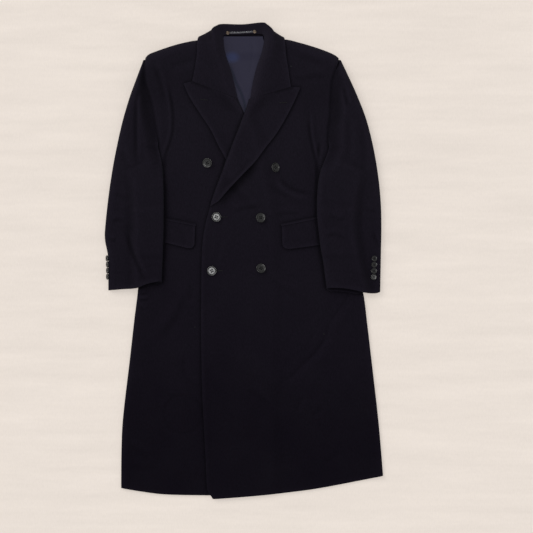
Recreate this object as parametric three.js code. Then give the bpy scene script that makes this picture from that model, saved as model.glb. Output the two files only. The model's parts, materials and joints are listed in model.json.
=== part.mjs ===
import * as THREE from 'three';

// A double-breasted long coat, laid flat on its back with the fronts up.
// Millimetres. +X is the viewer's right (the wearer's left), +Y runs to the collar, +Z is up from the
// surface. Y = 0 is half way between the collar's fold and the lowest point of the hem.

// Cloth and seams
const CLOTH = 2.6; // coat cloth with the layer fused to it
const LINING = 1.0;
const GAP = 0.3; // between pieces at a seam, and between layers
const SEAM = 0.5; // beside an armhole or gorge seam, in plan
const MIDDLE = -5; // the coat's own centre line lies a little left of the frame's

// How far the fronts stand off the back
const REST_LOFT = 1.2;
const CHEST_LOFT = 10;
const SHOULDER_LOFT = 20;
const PAD_LOFT = 6;
const SIDE_PUFF = 3.2;

// Side and shoulder folds: height of the seam, and how far the turn reaches in
const SIDE_SEAM = 5.5;
const SIDE_TURN_UNDER = 5.5;
const SIDE_TURN_OVER = 9;
const SHOULDER_SEAM = 13;
const SHOULDER_TURN_UNDER = 14;
const SHOULDER_TURN_OVER = 20;

// The back rises over the collar's fall, which is turned under it
const NECK_LIFT = 3.4;
const NECK_Y = 573.5; // where the back meets the collar's stand
const NECK_SLANT = 0.03;

// Sleeves
const CUFF_LOFT = 17;
const ELBOW_LOFT = 20;
const UPPER_ARM_LOFT = 24;
const SLEEVE_HEAD_LOFT = 36;
const SLEEVE_TURN = 12;
const UNDERARM_Y = 226; // under this the sleeve crosses over the body

// Buttons
const FRONT_BUTTON = { across: 25, thick: 4.2, rim: 2.6, dish: 1.3 };
const CUFF_BUTTON = { across: 15.5, thick: 3.2, rim: 1.8, dish: 0.8 };

// Hip pockets
const FLAP_THICK = 2.6;
const JETTING_WIDE = 6;
const JETTING_THICK = 1.4;

// Hanger chain, inside the collar stand
const CHAIN_THICK = 2.4;

const COLOURS = {
  cloth: 0x18161c,
  lining: 0x30303e,
  horn: 0x141316,
  chain: 0x77787c,
  plate: 0x7a6a4c,
};

// Outlines. Each row is where one edge stands at one height on the coat.

const SIDE_RIGHT = [
  { y: -600, x: -313 }, { y: -500, x: -312.5 }, { y: -410, x: -309 }, { y: -253, x: -291 },
  { y: -147, x: -279 }, { y: -72, x: -270 }, { y: 0, x: -267 }, { y: 80, x: -268 },
  { y: 150, x: -270 }, { y: 205, x: -274 }, { y: 226, x: -277 }, { y: 236, x: -268 },
  { y: 248, x: -246 }, { y: 264, x: -227 }, { y: 290, x: -219 }, { y: 320, x: -222 },
  { y: 359, x: -229.5 }, { y: 397, x: -237 }, { y: 430, x: -245 }, { y: 456, x: -252.5 },
  { y: 481, x: -254 }, { y: 512, x: -251 }, { y: 530, x: -249 },
];
const SIDE_LEFT = [
  { y: -600, x: 358 }, { y: -548, x: 354.5 }, { y: -410, x: 342.7 }, { y: -259, x: 325.6 },
  { y: -160, x: 314 }, { y: -83, x: 304 }, { y: 0, x: 283 }, { y: 80, x: 270 },
  { y: 150, x: 273 }, { y: 205, x: 282 }, { y: 226, x: 283 }, { y: 236, x: 272 },
  { y: 248, x: 246 }, { y: 264, x: 226 }, { y: 290, x: 217 }, { y: 333, x: 215.5 },
  { y: 371, x: 221 }, { y: 410, x: 222 }, { y: 456, x: 225 }, { y: 481, x: 232 },
  { y: 512, x: 240 }, { y: 530, x: 242 },
];
const HEM_RIGHT = [
  { x: -313, y: -578.7 }, { x: -265, y: -587 }, { x: -206.6, y: -594.4 }, { x: -113.5, y: -597 },
  { x: -10, y: -597 }, { x: 89, y: -594 },
];
const HEM_LEFT = [
  { x: -82, y: -606.3 }, { x: -70, y: -606.5 }, { x: 37.7, y: -598.1 }, { x: 120, y: -589 },
  { x: 193.8, y: -578.7 }, { x: 354.5, y: -547.9 },
];
const SHOULDER_RIGHT = [
  { x: -254, y: 512 }, { x: -244, y: 524 }, { x: -222, y: 533.5 }, { x: -195, y: 543 },
  { x: -163, y: 552.5 }, { x: -118, y: 561 }, { x: -98, y: 558 }, { x: -60, y: 556 },
];
const SHOULDER_LEFT = [
  { x: 60, y: 555 }, { x: 92, y: 558 }, { x: 106, y: 563 }, { x: 143, y: 554.5 },
  { x: 177, y: 544.6 }, { x: 209, y: 533.4 }, { x: 232, y: 523 }, { x: 243, y: 514 },
];
// The front edge, the lapel's roll and the neck of the front that laps over.
const EDGE_LEFT = [
  { y: -606, x: -79 }, { y: -585, x: -92 }, { y: -559, x: -94.5 }, { y: -483, x: -98 },
  { y: -406, x: -102 }, { y: -325, x: -106 }, { y: -177, x: -108.5 }, { y: -75, x: -108 },
  { y: -3, x: -107 }, { y: 53, x: -104 }, { y: 99, x: -96 }, { y: 132, x: -87 },
  { y: 167, x: -78 }, { y: 211, x: -62 }, { y: 257, x: -45 }, { y: 308, x: -25.5 },
  { y: 366, x: -2.6 }, { y: 400, x: 9 }, { y: 436, x: 18.6 }, { y: 491, x: 31 },
  { y: 533, x: 45 }, { y: 572, x: 50 },
];
// The same on the front that lies under, most of it hidden.
const EDGE_RIGHT = [
  { y: -600, x: 64 }, { y: -406, x: 60 }, { y: -253, x: 61 }, { y: -3, x: 64 },
  { y: 99, x: 63 }, { y: 132, x: 60 }, { y: 167, x: 54 }, { y: 211, x: 43 },
  { y: 257, x: 33 }, { y: 308, x: 21.5 }, { y: 350, x: 9 }, { y: 373, x: 1.8 },
  { y: 411, x: -15 }, { y: 447, x: -24 }, { y: 483, x: -32 }, { y: 521, x: -47 },
  { y: 572, x: -52 },
];
const LAPEL_EDGE_LEFT = [
  { y: 134, x: -79 }, { y: 160, x: -58 }, { y: 183, x: -38 }, { y: 204, x: -18 },
  { y: 223.5, x: 0.5 }, { y: 252, x: 28 }, { y: 287, x: 54 }, { y: 323, x: 82 },
  { y: 361, x: 105 }, { y: 399.5, x: 125 }, { y: 440, x: 143 },
];
const LAPEL_EDGE_RIGHT = [
  { y: 134, x: 47 }, { y: 172.5, x: 12 }, { y: 211, x: -20 }, { y: 252, x: -42 },
  { y: 292, x: -64 }, { y: 333, x: -84 }, { y: 374, x: -111 }, { y: 415, x: -137 },
  { y: 450, x: -153 },
];
const SLEEVE_OUTER_RIGHT = [
  { y: -80, x: -345.5 }, { y: -39, x: -345.5 }, { y: 12, x: -346.5 }, { y: 50, x: -353.5 },
  { y: 72, x: -354.4 }, { y: 155, x: -346 }, { y: 225, x: -336 }, { y: 284, x: -325 },
  { y: 355, x: -309 }, { y: 416, x: -291 }, { y: 457, x: -276 }, { y: 500, x: -260 },
  { y: 514, x: -255.5 },
];
const SLEEVE_INNER_RIGHT = [
  { y: -52, x: -209 }, { y: 0, x: -207 }, { y: 53, x: -205 }, { y: 142, x: -204 },
  { y: 193, x: -205 }, { y: 231, x: -206.5 }, { y: 252, x: -210 }, { y: 272, x: -215 },
  { y: 290, x: -219.6 },
];
const SLEEVE_OUTER_LEFT = [
  { y: -80, x: 347 }, { y: 0, x: 348.5 }, { y: 92, x: 350 }, { y: 155, x: 348 },
  { y: 222, x: 341 }, { y: 293, x: 328.5 }, { y: 361, x: 311 }, { y: 423, x: 287 },
  { y: 482, x: 260 }, { y: 500, x: 251.5 }, { y: 514, x: 245.5 },
];
const SLEEVE_INNER_LEFT = [
  { y: -69, x: 210 }, { y: -3, x: 201.5 }, { y: 27, x: 196 }, { y: 65, x: 191 },
  { y: 116, x: 186 }, { y: 160, x: 186 }, { y: 206, x: 190 }, { y: 232, x: 196 },
  { y: 254, x: 205 }, { y: 272, x: 213 }, { y: 290, x: 217.6 },
];
const CUFF_RIGHT = [
  { x: -347, y: -75 }, { x: -310, y: -72 }, { x: -273, y: -69 }, { x: -248, y: -59 },
  { x: -222, y: -53 }, { x: -205, y: -52 },
];
const CUFF_LEFT = [
  { x: 205, y: -69 }, { x: 246, y: -69 }, { x: 280, y: -74 }, { x: 310, y: -81 },
  { x: 334, y: -82.5 }, { x: 349, y: -79 },
];

// Soft ridges (rise above nought) and troughs along straight runs of the body's cloth.
const BODY_FOLDS = [
  { name: 'right skirt, upper', x0: -120, y0: -70, x1: -200, y1: -150, rise: 3.2, wide: 30 },
  { name: 'right skirt, lower', x0: -200, y0: -150, x1: -262, y1: -225, rise: 3.0, wide: 32 },
  { name: 'right skirt bulge', x0: -163, y0: -392, x1: -163, y1: -396, rise: 2.0, wide: 52 },
  { name: 'left skirt, upper', x0: 252, y0: -98, x1: 212, y1: -160, rise: -2.0, wide: 20 },
  { name: 'left skirt, lower', x0: 205, y0: -185, x1: 120, y1: -282, rise: -2.2, wide: 20 },
  { name: 'left skirt ridge', x0: 215, y0: -235, x1: 150, y1: -312, rise: 2.0, wide: 26 },
  { name: 'left chest drape', x0: 96, y0: 196, x1: 176, y1: 166, rise: -1.6, wide: 18 },
  { name: 'left armhole drape', x0: 168, y0: 380, x1: 186, y1: 190, rise: -2.2, wide: 16 },
  { name: 'right armhole drape', x0: -208, y0: 470, x1: -186, y1: 330, rise: -2.4, wide: 18 },
  { name: 'right armhole drape, foot', x0: -186, y0: 330, x1: -206, y1: 255, rise: -2.4, wide: 16 },
];
const SLEEVE_FOLDS = [
  { name: 'right upper', x0: -272, y0: 420, x1: -278, y1: 240, rise: -2.6, wide: 17 },
  { name: 'right elbow', x0: -296, y0: 80, x1: -256, y1: -40, rise: -3.0, wide: 17 },
  { name: 'right inner ridge', x0: -228, y0: 190, x1: -226, y1: -20, rise: 1.8, wide: 16 },
  { name: 'left upper', x0: 252, y0: 440, x1: 262, y1: 396, rise: -1.8, wide: 14 },
  { name: 'left elbow', x0: 232, y0: 80, x1: 268, y1: 30, rise: -1.6, wide: 18 },
];

const clamp01 = (t) => Math.min(1, Math.max(0, t));
const mix = (a, b, t) => a + (b - a) * t;
const bell = (t) => Math.exp(-t * t);
function ease(low, high, value) {
  const t = clamp01((value - low) / (high - low));
  return t * t * (3 - 2 * t);
}
// A smooth line through a table's rows: the value of one column at a place in the other, with a
// cubic between rows whose slope at each row is that of its neighbours.
function track(rows, from, to) {
  const at = rows.map((row) => row[from]);
  const value = rows.map((row) => row[to]);
  const last = rows.length - 1;
  const slope = value.map((_, i) => {
    const a = Math.max(0, i - 1);
    const b = Math.min(last, i + 1);
    return (value[b] - value[a]) / (at[b] - at[a]);
  });
  return (place) => {
    const p = Math.min(at[last], Math.max(at[0], place));
    let i = 0;
    while (i < last - 1 && p > at[i + 1]) i += 1;
    const step = at[i + 1] - at[i];
    const t = (p - at[i]) / step;
    const t2 = t * t;
    const t3 = t2 * t;
    return value[i] * (2 * t3 - 3 * t2 + 1) + value[i + 1] * (3 * t2 - 2 * t3)
      + step * (slope[i] * (t3 - 2 * t2 + t) + slope[i + 1] * (t3 - t2));
  };
}

const sideRight = track(SIDE_RIGHT, 'y', 'x');
const sideLeft = track(SIDE_LEFT, 'y', 'x');
const hemRight = track(HEM_RIGHT, 'x', 'y');
const hemLeft = track(HEM_LEFT, 'x', 'y');
const shoulderRight = track(SHOULDER_RIGHT, 'x', 'y');
const shoulderLeft = track(SHOULDER_LEFT, 'x', 'y');
const edgeLeft = track(EDGE_LEFT, 'y', 'x');
const edgeRight = track(EDGE_RIGHT, 'y', 'x');

// Sum of the folds at a place on the cloth.
function foldHeight(folds, x, y) {
  let height = 0;
  for (const f of folds) {
    const dx = f.x1 - f.x0;
    const dy = f.y1 - f.y0;
    const t = clamp01(((x - f.x0) * dx + (y - f.y0) * dy) / (dx * dx + dy * dy));
    height += f.rise * bell(Math.hypot(x - f.x0 - t * dx, y - f.y0 - t * dy) / f.wide);
  }
  return height;
}

// How far the fronts stand off the back at a place: chest, shoulders with their pads, side folds.
function loft(x, y) {
  const out = Math.abs(x - MIDDLE);
  const neck = x > MIDDLE ? x - edgeLeft(y) : edgeRight(y) - x;
  const chest = CHEST_LOFT * bell((out - 120) / 85) * bell((y - 315) / 140);
  const shoulder = SHOULDER_LOFT * ease(380, 525, y);
  const pad = PAD_LOFT * bell((out - 220) / 60) * ease(400, 500, y);
  const nearNeck = mix(1, mix(0.35, 1, ease(8, 60, neck)), ease(360, 440, y));
  const side = Math.min(sideLeft(y) - x, x - sideRight(y));
  const puff = SIDE_PUFF * bell(Math.max(0, side) / 34) * (1 - ease(180, 230, y));
  return REST_LOFT + (chest + shoulder + pad) * nearNeck + puff
    + Math.max(-REST_LOFT, foldHeight(BODY_FOLDS, x, y));
}

// The level that the fronts rest on: the back's upper face, and the lining in the neck.
function groundHeight(x, y) {
  const lined = bell(Math.max(0, Math.abs(x - MIDDLE) - 96) / 30) * ease(305, 335, y);
  return CLOTH + GAP + (LINING + GAP) * lined + neckLift(x, y);
}

// How much the back is raised by the collar's fall beneath it.
function neckLift(x, y) {
  return NECK_LIFT * ease(505, 536, y) * (1 - ease(92, 114, Math.abs(x - MIDDLE)));
}

// One where a hidden layer lies under the place, falling softly to nought beside it.
const cover = (inside) => 1 - ease(0, 34, -inside);
function underLap(x, y) {
  return cover(edgeRight(y) - x) * (1 - ease(360, 400, y));
}
const lapelEdgeRight = track(LAPEL_EDGE_RIGHT, 'y', 'x');
const lapelEdgeLeft = track(LAPEL_EDGE_LEFT, 'y', 'x');
function underLapelRight(x, y) {
  const inside = Math.min(edgeRight(y) + 2 - x, x - lapelEdgeRight(y) + 2);
  return cover(inside) * ease(95, 130, y);
}

// Undersides of the two fronts, and the upper face that a sleeve or collar meets.
const frontRightUnder = (x, y) => groundHeight(x, y) + loft(x, y);
const frontLeftUnder = (x, y) =>
  groundHeight(x, y) + loft(x, y) + (CLOTH + GAP) * (underLap(x, y) + underLapelRight(x, y));
const chestTop = (x, y) => groundHeight(x, y) + loft(x, y) + CLOTH;

// What is laid down so far, kept so that the next layer can be laid on it without cutting in.
class Pile {
  constructor() {
    this.cell = 24;
    this.cells = new Map();
    this.ridges = [];
  }

  key(x, y) {
    return Math.floor(x / this.cell) * 4096 + Math.floor(y / this.cell);
  }

  // The cells that a triangle reaches over.
  keysUnder(corners) {
    const [low, high] = span(corners);
    const keys = [];
    for (let x = Math.floor(low.x / this.cell); x <= Math.floor(high.x / this.cell); x += 1) {
      for (let y = Math.floor(low.y / this.cell); y <= Math.floor(high.y / this.cell); y += 1) {
        keys.push(x * 4096 + y);
      }
    }
    return keys;
  }

  add(points, faces) {
    for (const face of faces) {
      const corners = face.map((k) => points[k]);
      for (const key of this.keysUnder(corners)) {
        if (!this.cells.has(key)) this.cells.set(key, []);
        this.cells.get(key).push(corners);
      }
      for (let k = 0; k < 3; k += 1) {
        const a = corners[k];
        const b = corners[(k + 1) % 3];
        const steps = Math.ceil(a.distanceTo(b) / 4);
        for (let s = 0; s < steps; s += 1) this.ridges.push(a.clone().lerp(b, s / steps));
      }
    }
  }

  // Highest face of the pile over a place, or minus one where there is none.
  topAt(x, y) {
    let top = -1;
    for (const corners of this.cells.get(this.key(x, y)) || []) {
      const z = heightIn(corners, x, y);
      if (z !== null && z > top) top = z;
    }
    return top;
  }
}

function span(points) {
  const low = points[0].clone();
  const high = points[0].clone();
  for (const p of points) {
    low.min(p);
    high.max(p);
  }
  return [low, high];
}

// The shares of a triangle's corners at a place, or null where the place is outside it.
function sharesIn([a, b, c], x, y) {
  const area = (b.x - a.x) * (c.y - a.y) - (c.x - a.x) * (b.y - a.y);
  if (Math.abs(area) < 1e-6) return null;
  const v = ((x - a.x) * (c.y - a.y) - (c.x - a.x) * (y - a.y)) / area;
  const w = ((b.x - a.x) * (y - a.y) - (x - a.x) * (b.y - a.y)) / area;
  return v < -1e-6 || w < -1e-6 || v + w > 1 + 1e-6 ? null : [1 - v - w, v, w];
}

function heightIn(corners, x, y) {
  const shares = sharesIn(corners, x, y);
  return shares && corners.reduce((z, corner, n) => z + corner.z * shares[n], 0);
}

// A wall of cloth over a grid of places. at(i, j) gives the outer face's point, and the way in
// from it to the inner face, whose length is the wall.
function wall(columns, rows, at) {
  const outer = [];
  const inner = [];
  for (let j = 0; j <= rows; j += 1) {
    for (let i = 0; i <= columns; i += 1) {
      const { point, inward } = at(i, j);
      outer.push(point);
      inner.push(point.clone().add(inward));
    }
  }
  const count = outer.length;
  const k = (i, j) => j * (columns + 1) + i;
  const faces = [];
  const quad = (a, b, c, d) => faces.push([a, b, c], [a, c, d]);
  for (let j = 0; j < rows; j += 1) {
    for (let i = 0; i < columns; i += 1) {
      quad(k(i, j), k(i + 1, j), k(i + 1, j + 1), k(i, j + 1));
      quad(count + k(i, j + 1), count + k(i + 1, j + 1), count + k(i + 1, j), count + k(i, j));
    }
  }
  const rim = [];
  for (let i = 0; i < columns; i += 1) rim.push(k(i, 0));
  for (let j = 0; j < rows; j += 1) rim.push(k(columns, j));
  for (let i = columns; i > 0; i -= 1) rim.push(k(i, rows));
  for (let j = rows; j > 0; j -= 1) rim.push(k(0, j));
  rim.forEach((a, n) => {
    const b = rim[(n + 1) % rim.length];
    quad(b, a, count + a, count + b);
  });
  return { points: [...outer, ...inner], faces, pairs: count };
}

// Lays a wall on the pile: wherever its underside would come nearer than the gap, the corners of
// that face are lifted, on both faces of the wall together, the nearest corner the most.
function settle(piece, pile, rests = () => true) {
  const { points, pairs } = piece;
  const faces = piece.faces.filter((face) => face.every((n) => rests(points[n % pairs], n % pairs)));
  const cells = new Map();
  for (const face of faces) {
    for (const key of pile.keysUnder(face.map((n) => points[n]))) {
      if (!cells.has(key)) cells.set(key, []);
      cells.get(key).push(face);
    }
  }
  const lift = (face, shares, height) => {
    const sum = shares.reduce((total, share) => total + share * share, 0);
    face.forEach((n, corner) => {
      const rise = (height * shares[corner]) / sum;
      points[n % pairs].z += rise;
      points[(n % pairs) + pairs].z += rise;
    });
  };
  let most = 1;
  for (let pass = 0; pass < 12 && most > 0.01; pass += 1) {
    most = 0;
    for (const face of faces) {
      const [a, b, c] = face.map((n) => points[n]);
      const steps = Math.max(1, Math.ceil(Math.max(a.distanceTo(b), b.distanceTo(c)) / 5));
      for (let u = 0; u <= steps; u += 1) {
        for (let v = 0; v <= steps - u; v += 1) {
          const shares = [1 - (u + v) / steps, u / steps, v / steps];
          const at = (key) => a[key] * shares[0] + b[key] * shares[1] + c[key] * shares[2];
          const top = pile.topAt(at('x'), at('y'));
          const need = top < 0 ? 0 : top + GAP - at('z');
          if (need > 1e-4) lift(face, shares, need);
          most = Math.max(most, need);
        }
      }
    }
    for (const p of pile.ridges) {
      const near = cells.get(pile.key(p.x, p.y));
      if (!near || pile.topAt(p.x, p.y) > p.z + 1e-3) continue;
      let lowest = { z: Infinity };
      for (const face of near) {
        const corners = face.map((n) => points[n]);
        const z = heightIn(corners, p.x, p.y);
        if (z !== null && z < lowest.z) lowest = { z, face, shares: sharesIn(corners, p.x, p.y) };
      }
      const need = p.z + GAP - lowest.z;
      if (need > 1e-4) lift(lowest.face, lowest.shares, need);
      most = Math.max(most, need);
    }
  }
  return piece;
}

// The mesh of a wall, its faces turned to look out.
function meshOf(name, { points, faces }, color, roughness) {
  const geometry = new THREE.BufferGeometry();
  const numbers = points.flatMap((p) => p.toArray());
  geometry.setAttribute('position', new THREE.Float32BufferAttribute(numbers, 3));
  let volume = 0;
  for (const [a, b, c] of faces) volume += points[a].dot(points[b].clone().cross(points[c]));
  geometry.setIndex(faces.flatMap(([a, b, c]) => (volume < 0 ? [a, c, b] : [a, b, c])));
  geometry.computeVertexNormals();
  const mesh = new THREE.Mesh(geometry, new THREE.MeshStandardMaterial({ color, roughness }));
  mesh.name = name;
  return mesh;
}

// Places across a panel: close together over a turn at either end, with the given spots between.
// Each gives how far in it lies and the angle of the turn there, 90 degrees being flat.
const FLAT = Math.PI / 2;
const TURN_STEPS = [0, 30, 60, 90].map(THREE.MathUtils.degToRad);
function placesAcross(low, high, spots, lowTurn, highTurn) {
  const places = [];
  const turned = (angle, reach) => reach * (1 - Math.cos(angle));
  const lowSteps = lowTurn > 0 ? TURN_STEPS : [FLAT];
  const highSteps = highTurn > 0 ? [...TURN_STEPS].reverse() : [FLAT];
  for (const step of lowSteps) places.push({ at: low + turned(step, lowTurn), low: step, high: FLAT });
  for (const spot of spots) {
    places.push({ at: mix(low + lowTurn, high - highTurn, spot), low: FLAT, high: FLAT });
  }
  for (const step of highSteps) places.push({ at: high - turned(step, highTurn), low: FLAT, high: step });
  return places;
}

const evenSpots = (count) => Array.from({ length: count - 1 }, (_, n) => (n + 1) / count);

const coat = new THREE.Group();
const pile = new Pile();
function lay(name, piece, color = COLOURS.cloth, roughness = 0.95) {
  pile.add(piece.points, piece.faces);
  coat.add(meshOf(name, piece, color, roughness));
}

// Rows up the body, closer together where the underarm turns. Rows run level, and bend to the hem
// at the foot and to the shoulder at the head.
const FOOT = -600;
const HEAD = 520;
const ARMHOLE_ROWS = [226, 237, 250, 266, 290, 312, 336, 366, 398, 430, 464, 492];
function bodyRows(step) {
  const rows = [];
  for (let y = FOOT; y < 190; y += step) rows.push(y);
  return [...rows, 206, ...ARMHOLE_ROWS];
}

// The height of a row at a column, bent to the hem and the shoulder that stand there.
function bentRow(y0, xAt, hem, shoulder) {
  let y = y0;
  for (let pass = 0; pass < 3; pass += 1) {
    const x = xAt(y);
    const foot = (hem(x) - FOOT) * (1 - ease(FOOT, -250, y0));
    y = y0 + foot + (shoulder(x) - HEAD) * ease(300, HEAD, y0);
  }
  return y;
}

// A body panel over its places: its sides and shoulder may turn over a fold.
function bodyPanel(panel) {
  const { left, right, hem, shoulder, leftTurn, rightTurn, spots, rowStep, shoulderTurn, surface } = panel;
  const levels = bodyRows(rowStep).map((y0) => ({ y0, back: 0, angle: FLAT }));
  for (const angle of [...TURN_STEPS].reverse()) {
    levels.push({ y0: HEAD, back: shoulderTurn * (1 - Math.cos(angle)), angle });
  }
  const placesAt = (y) => placesAcross(left(y), right(y), spots, leftTurn, rightTurn);
  return wall(placesAt(0).length - 1, levels.length - 1, (i, j) => {
    const { y0, back: setback, angle } = levels[j];
    const y = bentRow(y0, (level) => placesAt(level)[i].at, hem, shoulder) - setback;
    const place = placesAt(y)[i];
    return surface({ x: place.at, y, leftAngle: place.low, rightAngle: place.high, topAngle: angle });
  });
}

// Share of a side edge that is folded: all of it below the underarm, none along the armhole.
const folded = (y) => 1 - ease(206, 232, y);

function back() {
  return bodyPanel({
    left: sideRight,
    right: sideLeft,
    hem: (x) => (x < 0 ? hemRight(x) : mix(hemRight(x), hemLeft(x), ease(20, 120, x))) + 5,
    shoulder: (x) => {
      const neck = NECK_Y + NECK_SLANT * (x - MIDDLE);
      const sides = x < 0 ? shoulderRight(x) : shoulderLeft(x);
      return mix(neck, sides, ease(52, 66, Math.abs(x + 2)));
    },
    leftTurn: SIDE_TURN_UNDER,
    rightTurn: SIDE_TURN_UNDER,
    spots: [0.13, 0.26, 0.375, 0.405, 0.5, 0.6, 0.63, 0.75, 0.88],
    rowStep: 88,
    shoulderTurn: SHOULDER_TURN_UNDER,
    surface: ({ x, y, leftAngle, rightAngle, topAngle }) => {
      const k = folded(y);
      const top = ease(72, 112, Math.abs(x - MIDDLE));
      const lifted = neckLift(x, y);
      const turn = (1 - Math.sin(leftAngle)) + (1 - Math.sin(rightAngle));
      const atTop = (SHOULDER_SEAM - lifted) * (1 - Math.sin(topAngle)) * top;
      const z = SIDE_SEAM * turn * k + atTop + lifted;
      const inward = new THREE.Vector3(
        (Math.cos(leftAngle) - Math.cos(rightAngle)) * k,
        -Math.cos(topAngle) * top,
        mix(1, Math.sin(leftAngle) * Math.sin(rightAngle), k) * mix(1, Math.sin(topAngle), top),
      ).multiplyScalar(CLOTH);
      return { point: new THREE.Vector3(x, y, z), inward };
    },
  });
}

function backLining() {
  const rows = [335, 370, 410, 450, 490, 520, 546, 571];
  const columns = 8;
  return wall(columns, rows.length - 1, (i, j) => {
    const y = rows[j];
    const reach = mix(86, 50, ease(500, 571, y));
    const x = -2 + mix(-reach, reach, i / columns);
    const level = CLOTH + neckLift(x, y);
    return {
      point: new THREE.Vector3(x, y, level + GAP + LINING),
      inward: new THREE.Vector3(0, 0, -LINING),
    };
  });
}

// How far a front's inner edge lies back from the roll, so that the lapel and collar turn over it.
const rollSetback = (y) => 7.5 * ease(134, 152, y) + 6.5 * ease(385, 430, y);

function front(side) {
  const isLeft = side === 'left';
  const under = isLeft ? frontLeftUnder : frontRightUnder;
  const inner = isLeft
    ? (y) => edgeLeft(y) + rollSetback(y)
    : (y) => edgeRight(y) - rollSetback(y);
  const surface = ({ x, y, leftAngle, rightAngle, topAngle }) => {
    const angle = isLeft ? rightAngle : leftAngle;
    const way = isLeft ? 1 : -1;
    const k = folded(y);
    const flat = under(x, y) + CLOTH;
    const seam = SIDE_SEAM + GAP;
    const sideDrop = (flat - seam) * (1 - Math.sin(angle)) * k;
    const topDrop = (flat - SHOULDER_SEAM - GAP) * (1 - Math.sin(topAngle));
    const z = flat - sideDrop - topDrop;
    const inward = new THREE.Vector3(
      -way * Math.cos(angle) * k,
      -Math.cos(topAngle),
      -mix(1, Math.sin(angle), k) * Math.sin(topAngle),
    ).multiplyScalar(CLOTH);
    return { point: new THREE.Vector3(x, y, z), inward };
  };
  return bodyPanel({
    left: isLeft ? inner : sideRight,
    right: isLeft ? sideLeft : inner,
    hem: isLeft ? hemLeft : hemRight,
    shoulder: isLeft ? shoulderLeft : shoulderRight,
    leftTurn: isLeft ? 0 : SIDE_TURN_OVER,
    rightTurn: isLeft ? SIDE_TURN_OVER : 0,
    spots: evenSpots(9),
    rowStep: 44,
    shoulderTurn: SHOULDER_TURN_OVER,
    surface,
  });
}

// How much the roll stands up above the pressed lapel, more towards the neck.
const rollRise = (y) => 8 * ease(300, 430, y);

// Where the gorge seam runs: the neck's roll, the notch and the tip of the peak.
const GORGE_LEFT = {
  roll: new THREE.Vector2(15, 411.5),
  notch: new THREE.Vector2(119, 442),
  peak: new THREE.Vector2(143, 440),
};
const GORGE_RIGHT = {
  roll: new THREE.Vector2(-15.3, 411.5),
  notch: new THREE.Vector2(-131, 456),
  peak: new THREE.Vector2(-153, 450),
};
function gorgeAt(gorge, share) {
  const split = gorge.roll.distanceTo(gorge.notch) / (gorge.roll.distanceTo(gorge.notch)
    + gorge.notch.distanceTo(gorge.peak));
  if (share < split) return gorge.roll.clone().lerp(gorge.notch, share / split);
  return gorge.notch.clone().lerp(gorge.peak, (share - split) / (1 - split));
}

// Places across a lapel: round the roll by its angle, then out over the leaf by share of its width.
const LAPEL_STEPS = [
  { angle: 0, out: 0 }, { angle: 30, out: 0 }, { angle: 60, out: 0 }, { angle: 90, out: 0 },
  { angle: 90, out: 0.14 }, { angle: 90, out: 0.3 }, { angle: 90, out: 0.48 }, { angle: 90, out: 0.64 },
  { angle: 90, out: 0.8 }, { angle: 90, out: 0.9 }, { angle: 90, out: 1 },
];
const LAPEL_FOOT_Y = 138;
const LAPEL_ROWS = 12;
const ROLL_TURN = 5.5; // how far the turn at the roll reaches in, at the foot and at the gorge
const ROLL_TURN_TOP = 15;
const ROLL_SLOPE = 46; // where the roll's rise has died away over the leaf

// A lapel: the front's own cloth turned out over the roll and laid on the chest.
function lapel(side) {
  const isLeft = side === 'left';
  const way = isLeft ? 1 : -1;
  const roll = isLeft ? edgeLeft : edgeRight;
  const outer = isLeft ? lapelEdgeLeft : lapelEdgeRight;
  const gorge = isLeft ? GORGE_LEFT : GORGE_RIGHT;
  const under = isLeft ? frontLeftUnder : frontRightUnder;
  return wall(LAPEL_STEPS.length - 1, LAPEL_ROWS, (i, j) => {
    const up = j / LAPEL_ROWS;
    const rollY = mix(LAPEL_FOOT_Y, gorge.roll.y, up);
    const outY = mix(LAPEL_FOOT_Y, gorge.peak.y, up);
    const a = new THREE.Vector2(roll(rollY), rollY);
    const b = new THREE.Vector2(outer(outY), outY);
    const width = a.distanceTo(b);
    const ridge = rollRise(rollY);
    const turn = Math.min(mix(ROLL_TURN, ROLL_TURN_TOP, ease(385, 425, rollY)), width * 0.42);
    const step = LAPEL_STEPS[i];
    const angle = THREE.MathUtils.degToRad(step.angle);
    const reach = step.angle < 90 ? turn * (1 - Math.cos(angle)) : mix(turn, width, step.out);
    const plan = a.clone().lerp(b, reach / width);
    if (reach / width > 0.3) {
      const bend = gorgeAt(gorge, reach / width).sub(gorge.roll.clone().lerp(gorge.peak, reach / width));
      plan.addScaledVector(bend, ease(0.62, 1, up));
    }
    const { x, y } = plan;
    const flat = under(x, y) + 2 * CLOTH + GAP + ridge * (1 - ease(turn, turn + ROLL_SLOPE, reach));
    const rim = under(a.x, a.y) + GAP;
    const wrap = ease(0.03, 0.12, up);
    const z = mix(flat, mix(rim, flat, Math.sin(angle)), wrap);
    const across = b.clone().sub(a).normalize();
    const inward = new THREE.Vector3(
      across.x * Math.cos(angle) * wrap,
      across.y * Math.cos(angle) * wrap,
      -mix(1, Math.sin(angle), wrap),
    ).multiplyScalar(CLOTH);
    return { point: new THREE.Vector3(x, y, z), inward };
  });
}

const at = (x, y, z) => new THREE.Vector3(x, y, z);

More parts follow.
